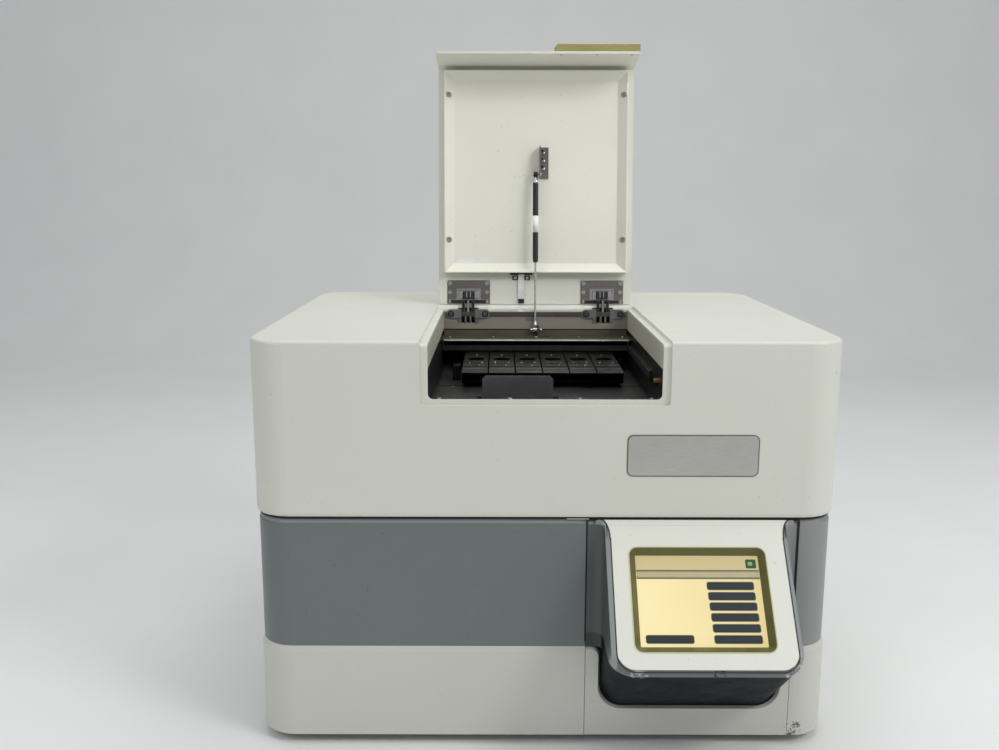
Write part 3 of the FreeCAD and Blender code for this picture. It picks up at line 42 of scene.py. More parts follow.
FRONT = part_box("base_shell")[0][1]
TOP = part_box("top_cover")[1][2]
COVER_CORNER = 44.4 * MM
BAND_INSET = 2.5 * MM
BAND_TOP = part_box("mid_band")[1][2]

# The console's front plane: its top edge, its slope and how deep the display sits.
POD_TILT = math.radians(40)
SCREEN_DEPTH = 7 * MM
SCREEN_CENTRE = 173 * MM
SCREEN_WIDTH = 141 * MM
SCREEN_HEIGHT = 105 * MM
SCREEN_START = 41.5 * MM
HEADER_SHARE = 0.17
HEADER_LEVEL = (BAND_TOP - (SCREEN_START + SCREEN_HEIGHT * HEADER_SHARE) * math.cos(POD_TILT)
                - SCREEN_DEPTH * math.sin(POD_TILT))

# The lid turns about this line. The map takes a place on the closed lid to the open one.
PIVOT = Vector((0, FRONT + 356.5 * MM, TOP - 8.8 * MM))
LID_OPEN = math.radians(96)
LID_MAP = (Matrix.Translation(PIVOT) @ Matrix.Rotation(-LID_OPEN, 4, "X")
           @ Matrix.Translation(-PIVOT))
LID_BACK = FRONT + 346.2 * MM
LID_INSIDE = TOP - 3.5 * MM
LINER_FLOOR = LID_INSIDE - 3 * MM
BAY_CENTRE = -1.7 * MM
BAY_HALF = 134 * MM
BAY_BACK = FRONT + 339 * MM
HINGES = (("left", BAY_CENTRE - 98.5 * MM), ("right", BAY_CENTRE + 98.5 * MM))
STRUT_X = -2.3 * MM
STRUT_BALL_RUN = 188 * MM
STRUT_BALL_DROP = 17 * MM
STRUT_FOOT = Vector((STRUT_X, FRONT + 333 * MM, TOP - 33.5 * MM))
STRUT_HEAD = LID_MAP @ Vector((STRUT_X, LID_BACK - STRUT_BALL_RUN, LID_INSIDE - STRUT_BALL_DROP))
SHELF_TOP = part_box("shelf_plate")[1][2]
PLATE_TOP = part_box("cartridge_plate_1")[1][2]
FLOOR_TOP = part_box("front_plate")[0][2]

# Linear colours.
CREAM = (0.76, 0.76, 0.675)
# Painted shade: darker tones of the cream for the bay's back wall and side walls, where they stand in
# shade.
CREAM_BACK_WALL_SHADE = (0.29, 0.265, 0.215)
CREAM_SIDE_WALL_SHADE = (0.50, 0.485, 0.40)
CREAM_LINER = (0.88, 0.87, 0.76)
BASE_GREY = (0.67, 0.665, 0.61)
SLATE = (0.165, 0.190, 0.186)
BLACK = (0.012, 0.012, 0.013)
BAY_BLACK = (0.031, 0.031, 0.031)
CARRIER = (0.022, 0.0225, 0.020)
STEEL = (0.34, 0.33, 0.31)
PLATE_STEEL = (0.29, 0.262, 0.235)
SHELF_BROWN = (0.050, 0.045, 0.029)
DARK_STEEL = (0.05, 0.05, 0.05)
BRIGHT = (0.72, 0.72, 0.70)
GOLD = (0.46, 0.43, 0.175)
OLIVE = (0.112, 0.108, 0.026)
RUBBER = (0.006, 0.006, 0.006)
LCD_PALE = (0.90, 0.77, 0.42)
LCD_WARM = (0.74, 0.60, 0.28)
LCD_HEAD = (0.56, 0.47, 0.24)


def shade(colour, factor):
    return tuple(channel * factor for channel in colour)


class Graph:
    """A material's node tree with short calls for the nodes used here."""

    def __init__(self, name):
        self.material = bpy.data.materials.new(name)
        self.material.use_nodes = True
        self.tree = self.material.node_tree
        self.shader = self.tree.nodes["Principled BSDF"]

    def node(self, kind, **settings):
        node = self.tree.nodes.new(kind)
        for key, value in settings.items():
            setattr(node, key, value)
        return node

    def link(self, source, target):
        self.tree.links.new(source, target)

    def position(self, stretch=(1, 1, 1)):
        place = self.node("ShaderNodeTexCoord")
        mapping = self.node("ShaderNodeMapping")
        mapping.inputs["Scale"].default_value = stretch
        self.link(place.outputs["Object"], mapping.inputs["Vector"])
        return mapping.outputs["Vector"]

    def noise(self, scale, detail=3.0, stretch=(1, 1, 1), roughness=0.55):
        noise = self.node("ShaderNodeTexNoise")
        noise.inputs["Scale"].default_value = scale
        noise.inputs["Detail"].default_value = detail
        noise.inputs["Roughness"].default_value = roughness
        self.link(self.position(stretch), noise.inputs["Vector"])
        return noise.outputs["Fac"]

    def remap(self, value, low, high, start=0.3, end=0.7):
        remap = self.node("ShaderNodeMapRange")
        remap.inputs["From Min"].default_value = start
        remap.inputs["From Max"].default_value = end
        remap.inputs["To Min"].default_value = low
        remap.inputs["To Max"].default_value = high
        self.link(value, remap.inputs["Value"])
        return remap.outputs["Result"]

    def mix(self, factor, first, second):
        mix = self.node("ShaderNodeMix", data_type="RGBA")
        self.link(factor, mix.inputs["Factor"])
        for socket, colour in ((mix.inputs[6], first), (mix.inputs[7], second)):
            if isinstance(colour, tuple):
                socket.default_value = (*colour, 1)
            else:
                self.link(colour, socket)
        return mix.outputs[2]

    def bump(self, height, strength, distance, normal=None):
        bump = self.node("ShaderNodeBump")
        bump.inputs["Strength"].default_value = strength
        bump.inputs["Distance"].default_value = distance
        self.link(height, bump.inputs["Height"])
        if normal is not None:
            self.link(normal, bump.inputs["Normal"])
        return bump.outputs["Normal"]

    def edge_normal(self, radius):
        """Normals that round off every sharp edge a little."""
        bevel = self.node("ShaderNodeBevel", samples=4)
        bevel.inputs["Radius"].default_value = radius
        return bevel.outputs["Normal"]

    def box_mask(self, low, high, blur):
        """One inside a box and zero outside, with a soft border."""
        place = self.node("ShaderNodeTexCoord")
        split = self.node("ShaderNodeSeparateXYZ")
        self.link(place.outputs["Object"], split.inputs["Vector"])
        total = None
        for axis, first, last in zip("XYZ", low, high):
            for start, end in ((first - blur, first), (last + blur, last)):
                part = self.remap(split.outputs[axis], 0, 1, start, end)
                if total is None:
                    total = part
                    continue
                product = self.node("ShaderNodeMath", operation="MULTIPLY")
                self.link(total, product.inputs[0])
                self.link(part, product.inputs[1])
                total = product.outputs["Value"]
        return total

    def ball_mask(self, centre, radius):
        """One at a point and fading to zero at a radius."""
        place = self.node("ShaderNodeTexCoord")
        length = self.node("ShaderNodeVectorMath", operation="DISTANCE")
        self.link(place.outputs["Object"], length.inputs[0])
        length.inputs[1].default_value = centre
        return self.remap(length.outputs["Value"], 1, 0, 0, radius)

    def times(self, first, second):
        product = self.node("ShaderNodeMath", operation="MULTIPLY")
        self.link(first, product.inputs[0])
        self.link(second, product.inputs[1])
        return product.outputs["Value"]

    def set(self, **values):
        names = {"colour": "Base Color", "rough": "Roughness", "metal": "Metallic",
                 "normal": "Normal", "glow": "Emission Color", "power": "Emission Strength",
                 "coat": "Coat Weight", "grain": "Anisotropic", "specular": "Specular IOR Level"}
        for key, value in values.items():
            socket = self.shader.inputs[names[key]]
            if isinstance(value, tuple):
                socket.default_value = (*value, 1)
            elif isinstance(value, (int, float)):
                socket.default_value = value
            else:
                self.link(value, socket)


def painted(name, colour, rough=0.42, peel=0.06, dirt=0.93, inner=(), dull=None, scuffs=()):
    """Textured instrument paint: fine peel, cloudy gloss and faint handling marks.

    Inner gives boxes of painted shade and painted highlights, each in a colour of its own,
    dull a box without shine, and scuffs give points with chipped paint."""
    graph = Graph(name)
    clouds = graph.noise(7, 5)
    smudge = graph.noise(38, 6, roughness=0.7)
    tone = graph.mix(graph.remap(clouds, 0, 1), shade(colour, 0.975), shade(colour, 1.0))
    marks = graph.remap(smudge, 0, 1, 0.62, 0.84)
    tone = graph.mix(marks, tone, shade(colour, dirt))
    specks = graph.remap(graph.noise(260, 2, roughness=0.3), 0, 0.55, 0.74, 0.80)
    tone = graph.mix(specks, tone, shade(colour, 0.55))
    # The inner boxes lay painted shade and painted highlights over the paint.
    for low, high, painted_light_colour, blur in inner:
        tone = graph.mix(graph.box_mask(low, high, blur), tone, painted_light_colour)
    for centre, radius, bare in scuffs:
        chips = graph.times(graph.ball_mask(centre, radius),
                            graph.remap(graph.noise(170, 5, roughness=0.75), 0, 1, 0.44, 0.56))
        chips = graph.remap(chips, 0, 1, 0.30, 0.42)
        tone = graph.mix(chips, tone, bare)
    graph.set(colour=tone)
    graph.set(rough=graph.remap(smudge, rough - 0.06, rough + 0.08))
    if dull is not None:
        graph.set(specular=graph.remap(graph.box_mask(*dull, 2 * MM), 0.5, 0.02, 0, 1))
    grain = graph.noise(1500, 2)
    graph.set(normal=graph.bump(grain, peel, 0.0004, graph.edge_normal(0.9 * MM)))
    return graph.material


def metal(name, colour, rough=0.3, stretch=(1, 30, 1), scale=120, strength=0.12):
    """Brushed or turned metal with streaks along one axis and dull patches."""
    graph = Graph(name)
    streaks = graph.noise(scale, 4, stretch)
    dull = graph.noise(26, 4)
    graph.set(colour=graph.mix(graph.remap(streaks, 0, 1), shade(colour, 0.84), colour))
    graph.set(rough=graph.remap(dull, rough - 0.07, rough + 0.12), metal=1.0)
    graph.set(normal=graph.bump(streaks, strength, 0.0003, graph.edge_normal(0.4 * MM)))
    return graph.material


def moulded(name, colour, rough=0.5, strength=0.15, scale=2200, shine=0.5):
    """Spark-textured moulded plastic or rubber."""
    graph = Graph(name)
    grain = graph.noise(scale, 2)
    wear = graph.noise(45, 5)
    graph.set(colour=graph.mix(graph.remap(wear, 0, 1), colour, shade(colour, 1.35)))
    graph.set(rough=graph.remap(wear, rough - 0.08, rough + 0.08), specular=shine)
    graph.set(normal=graph.bump(grain, strength, 0.0003, graph.edge_normal(0.4 * MM)))
    return graph.material


def display_material():
    """Lit panel, paler at the upper left and warmer to the lower right."""
    graph = Graph("lit_display")
    place = graph.node("ShaderNodeTexCoord")
    split = graph.node("ShaderNodeSeparateXYZ")
    graph.link(place.outputs["Object"], split.inputs["Vector"])
    across = graph.remap(split.outputs["X"], 0, 1, SCREEN_CENTRE - SCREEN_WIDTH / 2,
                         SCREEN_CENTRE + SCREEN_WIDTH / 2)
    cloud = graph.remap(graph.noise(9, 2), -0.12, 0.12)
    total = graph.node("ShaderNodeMath", operation="ADD", use_clamp=True)
    graph.link(across, total.inputs[0])
    graph.link(cloud, total.inputs[1])
    tone = graph.mix(total.outputs["Value"], LCD_PALE, LCD_WARM)
    head = graph.remap(split.outputs["Z"], 0, 1, HEADER_LEVEL, HEADER_LEVEL + 1 * MM)
    tone = graph.mix(head, tone, LCD_HEAD)
    graph.set(colour=tone, glow=tone, power=0.30, rough=0.28)
    graph.set(normal=graph.bump(graph.noise(900, 2), 0.02, 0.0002))
    return graph.material


# Painted shade on the cover's walls round the bay: darker side walls, the right wall a little lighter where
# more light falls, and a darker back wall.
BAY_PAINTED_SHADE = (
    ((BAY_CENTRE - BAY_HALF - 2 * MM, FRONT + 9 * MM, TOP - 66 * MM),
     (BAY_CENTRE + BAY_HALF - 20 * MM, BAY_BACK - 4 * MM, TOP - 8 * MM), CREAM_SIDE_WALL_SHADE, 1.2 * MM),
    ((BAY_CENTRE + BAY_HALF - 20 * MM, FRONT + 9 * MM, TOP - 66 * MM),
     (BAY_CENTRE + BAY_HALF + 2 * MM, BAY_BACK - 4 * MM, TOP - 8 * MM), shade(CREAM_SIDE_WALL_SHADE, 1.25), 1.2 * MM),
    ((BAY_CENTRE - BAY_HALF - 2 * MM, BAY_BACK - 4 * MM, TOP - 66 * MM),
     (BAY_CENTRE + BAY_HALF + 2 * MM, BAY_BACK + 2 * MM, TOP - 8 * MM), CREAM_BACK_WALL_SHADE, 1.2 * MM))
# Painted shade: a darker tone on the bay frame's side walls, which get less light than its floor.
BAY_WALL_PAINTED_SHADE = tuple(
    ((x - 12 * MM, FRONT, 0.2), (x + 12 * MM, FRONT + 600 * MM, TOP), (0.010, 0.010, 0.010), 1 * MM)
    for x in (BAY_CENTRE - BAY_HALF - 11 * MM, BAY_CENTRE + BAY_HALF + 11 * MM))
# Painted light on the console moulding: painted shadow in the hollow beside the pod, painted highlights on
# its right flank, its rims and its top edge, and painted shade on its dark underside.
POD_LEFT, POD_RIGHT = 69 * MM, 280 * MM
POD_RIM_LOW = 147 * MM
POD_NEAR = FRONT - 130 * MM
POD_BACK = FRONT + 30 * MM
POD_PAINTED_LIGHT = (
    ((40 * MM, POD_NEAR, 60 * MM), (POD_LEFT + 0.2 * MM, POD_BACK, BAND_TOP - 5 * MM),
     (0.085, 0.098, 0.094), 1.5 * MM),
    ((POD_RIGHT - 0.2 * MM, POD_NEAR, 60 * MM), (310 * MM, POD_BACK, BAND_TOP - 5 * MM),
     (0.23, 0.24, 0.235), 0.6 * MM),
    ((POD_RIGHT - 5.4 * MM, POD_NEAR, 60 * MM), (POD_RIGHT - 0.6 * MM, POD_BACK, BAND_TOP + 4 * MM),
     (0.30, 0.315, 0.31), 0.4 * MM),
    ((40 * MM, POD_NEAR, BAND_TOP - 5 * MM), (310 * MM, POD_BACK, BAND_TOP + 4 * MM),
     (0.27, 0.285, 0.28), 1.5 * MM),
    ((POD_LEFT + 0.4 * MM, POD_NEAR, 60 * MM), (POD_LEFT + 5.6 * MM, POD_BACK, BAND_TOP + 4 * MM),
     (0.36, 0.38, 0.37), 0.4 * MM),
    ((POD_LEFT - 0.5 * MM, POD_NEAR, 20 * MM), (300 * MM, POD_BACK, POD_RIM_LOW - 5 * MM),
     (0.008, 0.013, 0.015), 2 * MM))
POD_DULL = ((50 * MM, POD_NEAR, 20 * MM), (300 * MM, POD_BACK, POD_RIM_LOW - 4 * MM))
# Painted highlights on the band: a lighter strip along its top edge and a lighter right end.
BAND_PAINTED_HIGHLIGHTS = (
    ((-360 * MM, FRONT - 10 * MM, BAND_TOP - 4.5 * MM), (360 * MM, FRONT + 600 * MM, BAND_TOP + 4 * MM),
     (0.29, 0.31, 0.30), 1 * MM),
    ((300 * MM, FRONT - 10 * MM, 80 * MM), (360 * MM, FRONT + 120 * MM, BAND_TOP - 4 * MM),
     (0.27, 0.28, 0.275), 14 * MM))
POD_CORNER = (274 * MM, FRONT - 104 * MM, 148 * MM)
BASE_CORNER = (302 * MM, FRONT + 3 * MM, 19 * MM)

M = {
    "cream": painted("cream_paint", CREAM, rough=0.40),
    "cover": painted("cover_paint", CREAM, rough=0.40, inner=BAY_PAINTED_SHADE, scuffs=(
        ((-344 * MM, FRONT + 40 * MM, 300 * MM), 0.03, (0.50, 0.48, 0.42)),)),
    "base": painted("base_paint", BASE_GREY, rough=0.42, scuffs=(
        (BASE_CORNER, 0.018, (0.12, 0.11, 0.10)),)),
    "pod": painted("pod_paint_and_painted_light", SLATE, rough=0.38, dirt=1.12, inner=POD_PAINTED_LIGHT, dull=POD_DULL, scuffs=(
        (POD_CORNER, 0.03, (0.52, 0.52, 0.50)),
        ((185 * MM, FRONT - 112 * MM, 148 * MM), 0.012, (0.02, 0.02, 0.02)),
        ((98 * MM, FRONT - 108 * MM, 148 * MM), 0.016, (0.50, 0.50, 0.48)))),
    "slate": painted("slate_paint_and_painted_highlights", SLATE, rough=0.38, dirt=1.12, inner=BAND_PAINTED_HIGHLIGHTS),
    "liner": painted("liner_paint", CREAM_LINER, rough=0.36),
    "face": painted("console_paint", (0.86, 0.855, 0.765), rough=0.34),
    "bay": painted("bay_paint_and_painted_shade", BAY_BLACK, rough=0.38, peel=0.1, dirt=1.25, inner=BAY_WALL_PAINTED_SHADE),
    "front": moulded("front_plate_paint", (0.075, 0.073, 0.080), rough=0.45, strength=0.2),
    "carrier": moulded("carrier_anodised", CARRIER, rough=0.33, strength=0.06),
    "steel": metal("brushed_steel", STEEL, rough=0.34, stretch=(30, 1, 1)),
    "shelf": moulded("shelf_finish", SHELF_BROWN, rough=0.42, strength=0.05),
    "strip": moulded("strip_plating", (0.72, 0.70, 0.66), rough=0.3, strength=0.03),
    "crossbar": moulded("crossbar_paint", (0.15, 0.15, 0.145), rough=0.4, strength=0.05),
    "seal": moulded("seal_brown", (0.062, 0.055, 0.046), rough=0.5, strength=0.1),
    "upstand": moulded("upstand_brown", (0.085, 0.077, 0.052), rough=0.42, strength=0.05),
    "pit": moulded("slot_black", (0.0025, 0.0025, 0.0025), rough=0.8, strength=0.03, shine=0.0),
    "plate": metal("hinge_plate_steel", PLATE_STEEL, rough=0.36, stretch=(1, 1, 30)),
    "dark": metal("dark_steel", DARK_STEEL, rough=0.32, stretch=(1, 1, 1), strength=0.05),
    "leaf": moulded("leaf_grey", (0.145, 0.145, 0.14), rough=0.34, strength=0.05),
    "arm": metal("screw_steel", (0.22, 0.22, 0.21), rough=0.3, stretch=(1, 1, 1)),
    "swan": metal("arm_steel", (0.16, 0.16, 0.155), rough=0.3, stretch=(1, 1, 30)),
    "bright": metal("bright_plating", BRIGHT, rough=0.16, stretch=(1, 1, 1), strength=0.03),
    "satin": metal("satin_plating", (0.62, 0.61, 0.58), rough=0.3, stretch=(30, 1, 1), strength=0.1),
    "strike": moulded("strike_plating", (0.74, 0.74, 0.72), rough=0.3, strength=0.5, scale=900),
    "gold": metal("gold_anodised", GOLD, rough=0.46, stretch=(1, 24, 24), scale=60, strength=0.05),
    "olive": moulded("olive_bezel", OLIVE, rough=0.42, strength=0.05),
    "rubber": moulded("rubber", RUBBER, rough=0.7),
    "plastic": moulded("black_plastic", BLACK, rough=0.5),
    "blank": moulded("blank_label", (0.80, 0.80, 0.78), rough=0.5, strength=0.03),
    "brass": metal("brass", (0.45, 0.30, 0.12), rough=0.3, stretch=(1, 1, 1), strength=0.04),
    "display": display_material(),
}

DRESS = {
    "cover": "top_cover",
    "cream": "lid_shell",
    "liner": "lid_liner",
    "face": "console_face",
    "base": "base_shell console_lower_panel",
    "slate": "mid_band",
    "pod": "console_housing",
    "rubber": "cover_seal foot_pads",
    "bay": "bay_frame bay_lip imaging_head",
    "front": "front_plate",
    "crossbar": "bay_crossbar",
    "pit": "stage_base stage_rails runner_left runner_right",
    "carrier": "cartridge_plate_1 cartridge_plate_2 cartridge_plate_3 "
               "cartridge_plate_4 cartridge_plate_5 cartridge_plate_6",
    "shelf": "shelf_plate strut_foot_bracket",
    "steel": "base_plate rear_panel power_supply",
    "plate": "lid_hinge_plate_left lid_hinge_plate_right strut_lid_bracket",
    "leaf": "hinge_leaf_left hinge_leaf_right",
    "swan": "hinge_arm_left hinge_arm_right",
    "dark": "bay_stops",
    "arm": "hinge_leaf_screws",
    "satin": "hinge_plate_screws liner_screws handle_screws",
    "strike": "latch_strike",
    "bright": "rear_panel_screws bay_screws hinge_pins cartridge_screws fan_guard strut_rod",
    "brass": "wall_bumper",
    "plastic": "power_inlet switch_frame power_rocker fan_frame fan_rotor io_ports strut_tube",
    "gold": "lid_handle",
    "olive": "screen_bezel",
    "display": "touch_display",
}


def dress_nodes():
    for key, names in DRESS.items():
        for name in names.split():
            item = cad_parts[name]
            item.data.materials.clear()
            item.data.materials.append(M[key])


dress_nodes()


def solid(name, points, faces, material, body, smooth=False):
    """A closed mesh piece that rides on a CAD body."""
    mesh = bpy.data.meshes.new(name)
    mesh.from_pydata([tuple(point) for point in points], [], faces)
    work = bmesh.new()
    work.from_mesh(mesh)
    bmesh.ops.recalc_face_normals(work, faces=work.faces)
    work.to_mesh(mesh)
    work.free()
    mesh.materials.append(material)
    for polygon in mesh.polygons:
        polygon.use_smooth = smooth
    item = bpy.data.objects.new(name, mesh)
    bpy.context.scene.collection.objects.link(item)
    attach(item, body)
    return item


def corner_points(width, height, radius, steps=6):
    """Outline of a rounded rectangle about the origin, counter-clockwise."""
    points = []
    radius = min(radius, width / 2, height / 2)
    centres = ((width / 2 - radius, height / 2 - radius, 0),
               (radius - width / 2, height / 2 - radius, 90),
               (radius - width / 2, radius - height / 2, 180),
               (width / 2 - radius, radius - height / 2, 270))
    for x, y, start in centres:
        for step in range(steps + 1):
            angle = math.radians(start + 90 * step / steps)
            points.append((x + radius * math.cos(angle), y + radius * math.sin(angle)))
    return points


def plate(name, place, width, height, thick, radius, material, body, edge=0.0):
    """A rounded plate on a plane: place maps its X, Y and outward Z into the room."""
    edge = min(edge, thick * 0.9)
    rings = [(0, 0), (0, thick - edge)]
    if edge:
        rings += [(edge * 0.3, thick - edge * 0.3), (edge, thick)]
    points, faces = [], []
    count = None
    for inset, level in rings:
        outline = corner_points(width - inset * 2, height - inset * 2, max(radius - inset, 0.00005))
        count = len(outline)
        points += [place @ Vector((x, y, level)) for x, y in outline]
    for ring in range(len(rings) - 1):
        base = ring * count
        for index in range(count):
            following = (index + 1) % count
            faces.append((base + index, base + following, base + count + following, base + count + index))
    faces.append(tuple(reversed(range(count))))
    faces.append(tuple(range(len(points) - count, len(points))))
    return solid(name, points, faces, material, body)


def turned(name, place, profile, material, body, steps=28):
    """A turned part: profile gives (radius, height) pairs from base to top."""
    points, faces = [], []
    for radius, level in profile:
        for step in range(steps):
            angle = 2 * math.pi * step / steps
            points.append(place @ Vector((radius * math.cos(angle), radius * math.sin(angle), level)))
    for ring in range(len(profile) - 1):
        base = ring * steps
        for step in range(steps):
            following = (step + 1) % steps
            faces.append((base + step, base + following, base + steps + following, base + steps + step))
    faces.append(tuple(reversed(range(steps))))
    faces.append(tuple(range(len(points) - steps, len(points))))
    return solid(name, points, faces, material, body, smooth=True)


def plane(origin, across, up):
    """Matrix of a plane whose Z is its outward side."""
    across, up = Vector(across).normalized(), Vector(up).normalized()
    out = across.cross(up)
    return Matrix.Translation(Vector(origin)) @ Matrix((across, up, out)).transposed().to_4x4()


def upright(x, y, z):
    """Plane at a place that stands upright and faces the front."""
    return plane((x, y, z), (1, 0, 0), (0, 0, 1))


def on_console(across, down, depth=0.0):
    """Plane on the console's slope at a distance down it and a depth behind it."""
    up = Vector((0, math.sin(POD_TILT), math.cos(POD_TILT)))
    out = Vector((0, -math.cos(POD_TILT), math.sin(POD_TILT)))
    origin = Vector((across, FRONT + BAND_INSET, BAND_TOP)) - up * down - out * depth
    return plane(origin, (1, 0, 0), up)


def on_screen(u, v):
    """Plane on the display, with u across and v down as shares of its size."""
    return on_console(SCREEN_CENTRE + (u - 0.5) * SCREEN_WIDTH, SCREEN_START + v * SCREEN_HEIGHT,
                      SCREEN_DEPTH)


def simple(name, colour, rough=0.4, glow=0.0):
    graph = Graph(name)
    mottle = graph.noise(60, 3)
    graph.set(colour=graph.mix(graph.remap(mottle, 0, 1), shade(colour, 0.93), colour), rough=rough)
    graph.set(normal=graph.bump(graph.noise(900, 2), 0.03, 0.0002))
    if glow:
        graph.set(glow=colour, power=glow)
    return graph.material


def ring_plate(name, place, width, height, band, thick, radius, material, body):
    """A flat rounded frame: the border between two rounded rectangles."""
    outer = corner_points(width, height, radius)
    inner = corner_points(width - band * 2, height - band * 2, max(radius - band, 0.0001))
    points, faces = [], []
    for outline, level in ((outer, 0), (outer, thick), (inner, thick), (inner, 0)):
        points += [place @ Vector((x, y, level)) for x, y in outline]
    count = len(outer)
    for loop in range(4):
        base, above = loop * count, (loop + 1) % 4 * count
        for index in range(count):
            following = (index + 1) % count
            faces.append((base + index, base + following, above + following, above + index))
    return solid(name, points, faces, material, body)


def ribbon(name, place, path, width, thick, material, body):
    """A flat strip of even width that follows a path on a plane."""
    points, faces = [], []
    for index, (x, y) in enumerate(path):
        before = Vector(path[max(index - 1, 0)])
        after = Vector(path[min(index + 1, len(path) - 1)])
        way = (after - before).normalized()
        side = Vector((-way.y, way.x)) * width / 2
        for sign, level in ((-1, 0), (1, 0), (1, thick), (-1, thick)):
            points.append(place @ Vector((x + side.x * sign, y + side.y * sign, level)))
    for index in range(len(path) - 1):
        base = index * 4
        for corner in range(4):
            following = (corner + 1) % 4
            faces.append((base + corner, base + following, base + following + 4, base + corner + 4))
    faces.append((3, 2, 1, 0))
    last = len(path) * 4 - 4
    faces.append((last, last + 1, last + 2, last + 3))
    return solid(name, points, faces, material, body)


def dome(radius, height, steps=4):
    """Profile of a round head: a short wall and a rounded top."""
    profile = [(radius, 0), (radius, height * 0.45)]
    for step in range(1, steps + 1):
        angle = math.pi / 2 * step / steps
        profile.append((radius * (0.55 + 0.45 * math.cos(angle)), height * (0.45 + 0.55 * math.sin(angle))))
    return profile


def ball_profile(radius, steps=12):
    profile = []
    for step in range(1, steps):
        angle = math.pi * step / steps - math.pi / 2
        profile.append((radius * math.cos(angle), radius * math.sin(angle)))
    return profile


def on_lid(x, y, level):
    """Plane on the lid's inner side, for a place given on the closed lid."""
    return LID_MAP @ plane((x, y, level), (1, 0, 0), (0, -1, 0))


def make_screen():
    """Menu on the lit display: header, grey strip, square icon and blank buttons."""
    slate = simple("button_slate", (0.016, 0.024, 0.027), 0.55)
    rim = simple("button_rim", (0.36, 0.34, 0.22), 0.35)
    strip = simple("strip_grey", (0.50, 0.44, 0.27), 0.35, 0.16)
    line = simple("ruled_line", (0.13, 0.12, 0.08), 0.35)
    green = simple("icon_green", (0.03, 0.10, 0.025), 0.35)
    leaf = simple("icon_leaf", (0.30, 0.45, 0.16), 0.35, 0.1)
    layer = 0.15 * MM
    full = SCREEN_WIDTH * 0.995
    corner = 0.3 * MM
    plate("menu_strip", on_screen(0.5, 0.212), full, SCREEN_HEIGHT * 0.085, layer, corner, strip,
          "housing")
    for number, v in enumerate((0.168, 0.257)):
        plate("menu_line_%d" % number, on_screen(0.5, v), full, 1.1 * MM, layer * 2, corner, line,
              "housing")
    for number, v in enumerate((0.180, 0.246)):
        plate("menu_shade_%d" % number, on_screen(0.5, v), full, 1.2 * MM, layer * 1.5, corner, rim,
              "housing")
    plate("menu_icon", on_screen(0.9375, 0.092), 12 * MM, 10.6 * MM, layer * 2, 1.6 * MM, green, "housing",
          edge=layer)
    plate("menu_icon_leaf", on_screen(0.932, 0.092), 5.5 * MM, 4.5 * MM, layer * 3, 2 * MM, leaf, "housing")
    rows = (0.340, 0.453, 0.566, 0.683, 0.800, 0.918)
    buttons = [(0.7525 + 0.0035 * number, v) for number, v in enumerate(rows)] + [(0.233, 0.918)]
    for number, (u, v) in enumerate(buttons):
        place = on_screen(u, v)
        plate("menu_button_rim_%d" % number, place, 54 * MM, 10 * MM, layer, 2.6 * MM, rim, "housing")
        plate("menu_button_%d" % number, place, 52.6 * MM, 8.7 * MM, layer * 4, 2.2 * MM, slate, "housing",
              edge=layer * 2)
    gloss = simple("bezel_line", (0.66, 0.64, 0.40), 0.3)
    ring_plate("bezel_rim_line", on_console(SCREEN_CENTRE, SCREEN_START + SCREEN_HEIGHT / 2),
               SCREEN_WIDTH + 16.6 * MM, SCREEN_HEIGHT + 16.6 * MM, 1.0 * MM, 0.5 * MM, 10.4 * MM, gloss,
               "housing")


def make_face_edge():
    """Dark gap round the console's face and the small flares at its upper corners."""
    gap = simple("face_gap_dark", (0.02, 0.022, 0.022), 0.6)
    low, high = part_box("console_face")
    width = high[0] - low[0]
    middle = (high[0] + low[0]) / 2
    run = (high[2] - low[2]) / math.cos(POD_TILT)
    start = (BAND_TOP - high[2]) / math.cos(POD_TILT)
    half, corner = width / 2, 20 * MM
    path = [(-half, -16 * MM)]
    for turn, (x, y) in enumerate(((-half + corner, -run + corner), (half - corner, -run + corner))):
        for step in range(9):
            angle = math.pi + math.pi / 2 * (turn + step / 8)
            path.append((x + corner * math.cos(angle), y + corner * math.sin(angle)))
    path.append((half, -16 * MM))
    ribbon("face_gap", on_console(middle, start), path, 1.3 * MM, 0.25 * MM, gap, "housing")
    for name, side, edge in (("left", -1, low[0]), ("right", 1, high[0])):
        points, faces = [], []
        arc = [(-side * 0.4 * MM, 0)]
        for step in range(9):
            angle = math.pi / 2 * step / 8
            arc.append((side * 9.5 * MM * (1 - math.sin(angle)), -24 * MM * (1 - math.cos(angle))))
        place = on_console(edge, start - 6.2 * MM)
        for level in (-0.4 * MM, 0.12 * MM):
            points += [place @ Vector((x, y, level)) for x, y in arc]
        count = len(arc)
        faces += [tuple(range(count, count * 2)), tuple(reversed(range(count)))]
        for index in range(count):
            following = (index + 1) % count
            faces.append((index, following, following + count, index + count))
        solid("face_flare_" + name, points, faces, M["face"], "housing")
        line = [(x + side * 0.5 * MM, y) for x, y in arc[1:]]
        ribbon("face_flare_gap_" + name, place, line, 1.3 * MM, 0.4 * MM, gap, "housing")
    plate("face_top", on_console(middle, start - 2.6 * MM, 0.4 * MM), width, 7.2 * MM, 0.5 * MM, 0.4 * MM,
          M["face"], "housing")


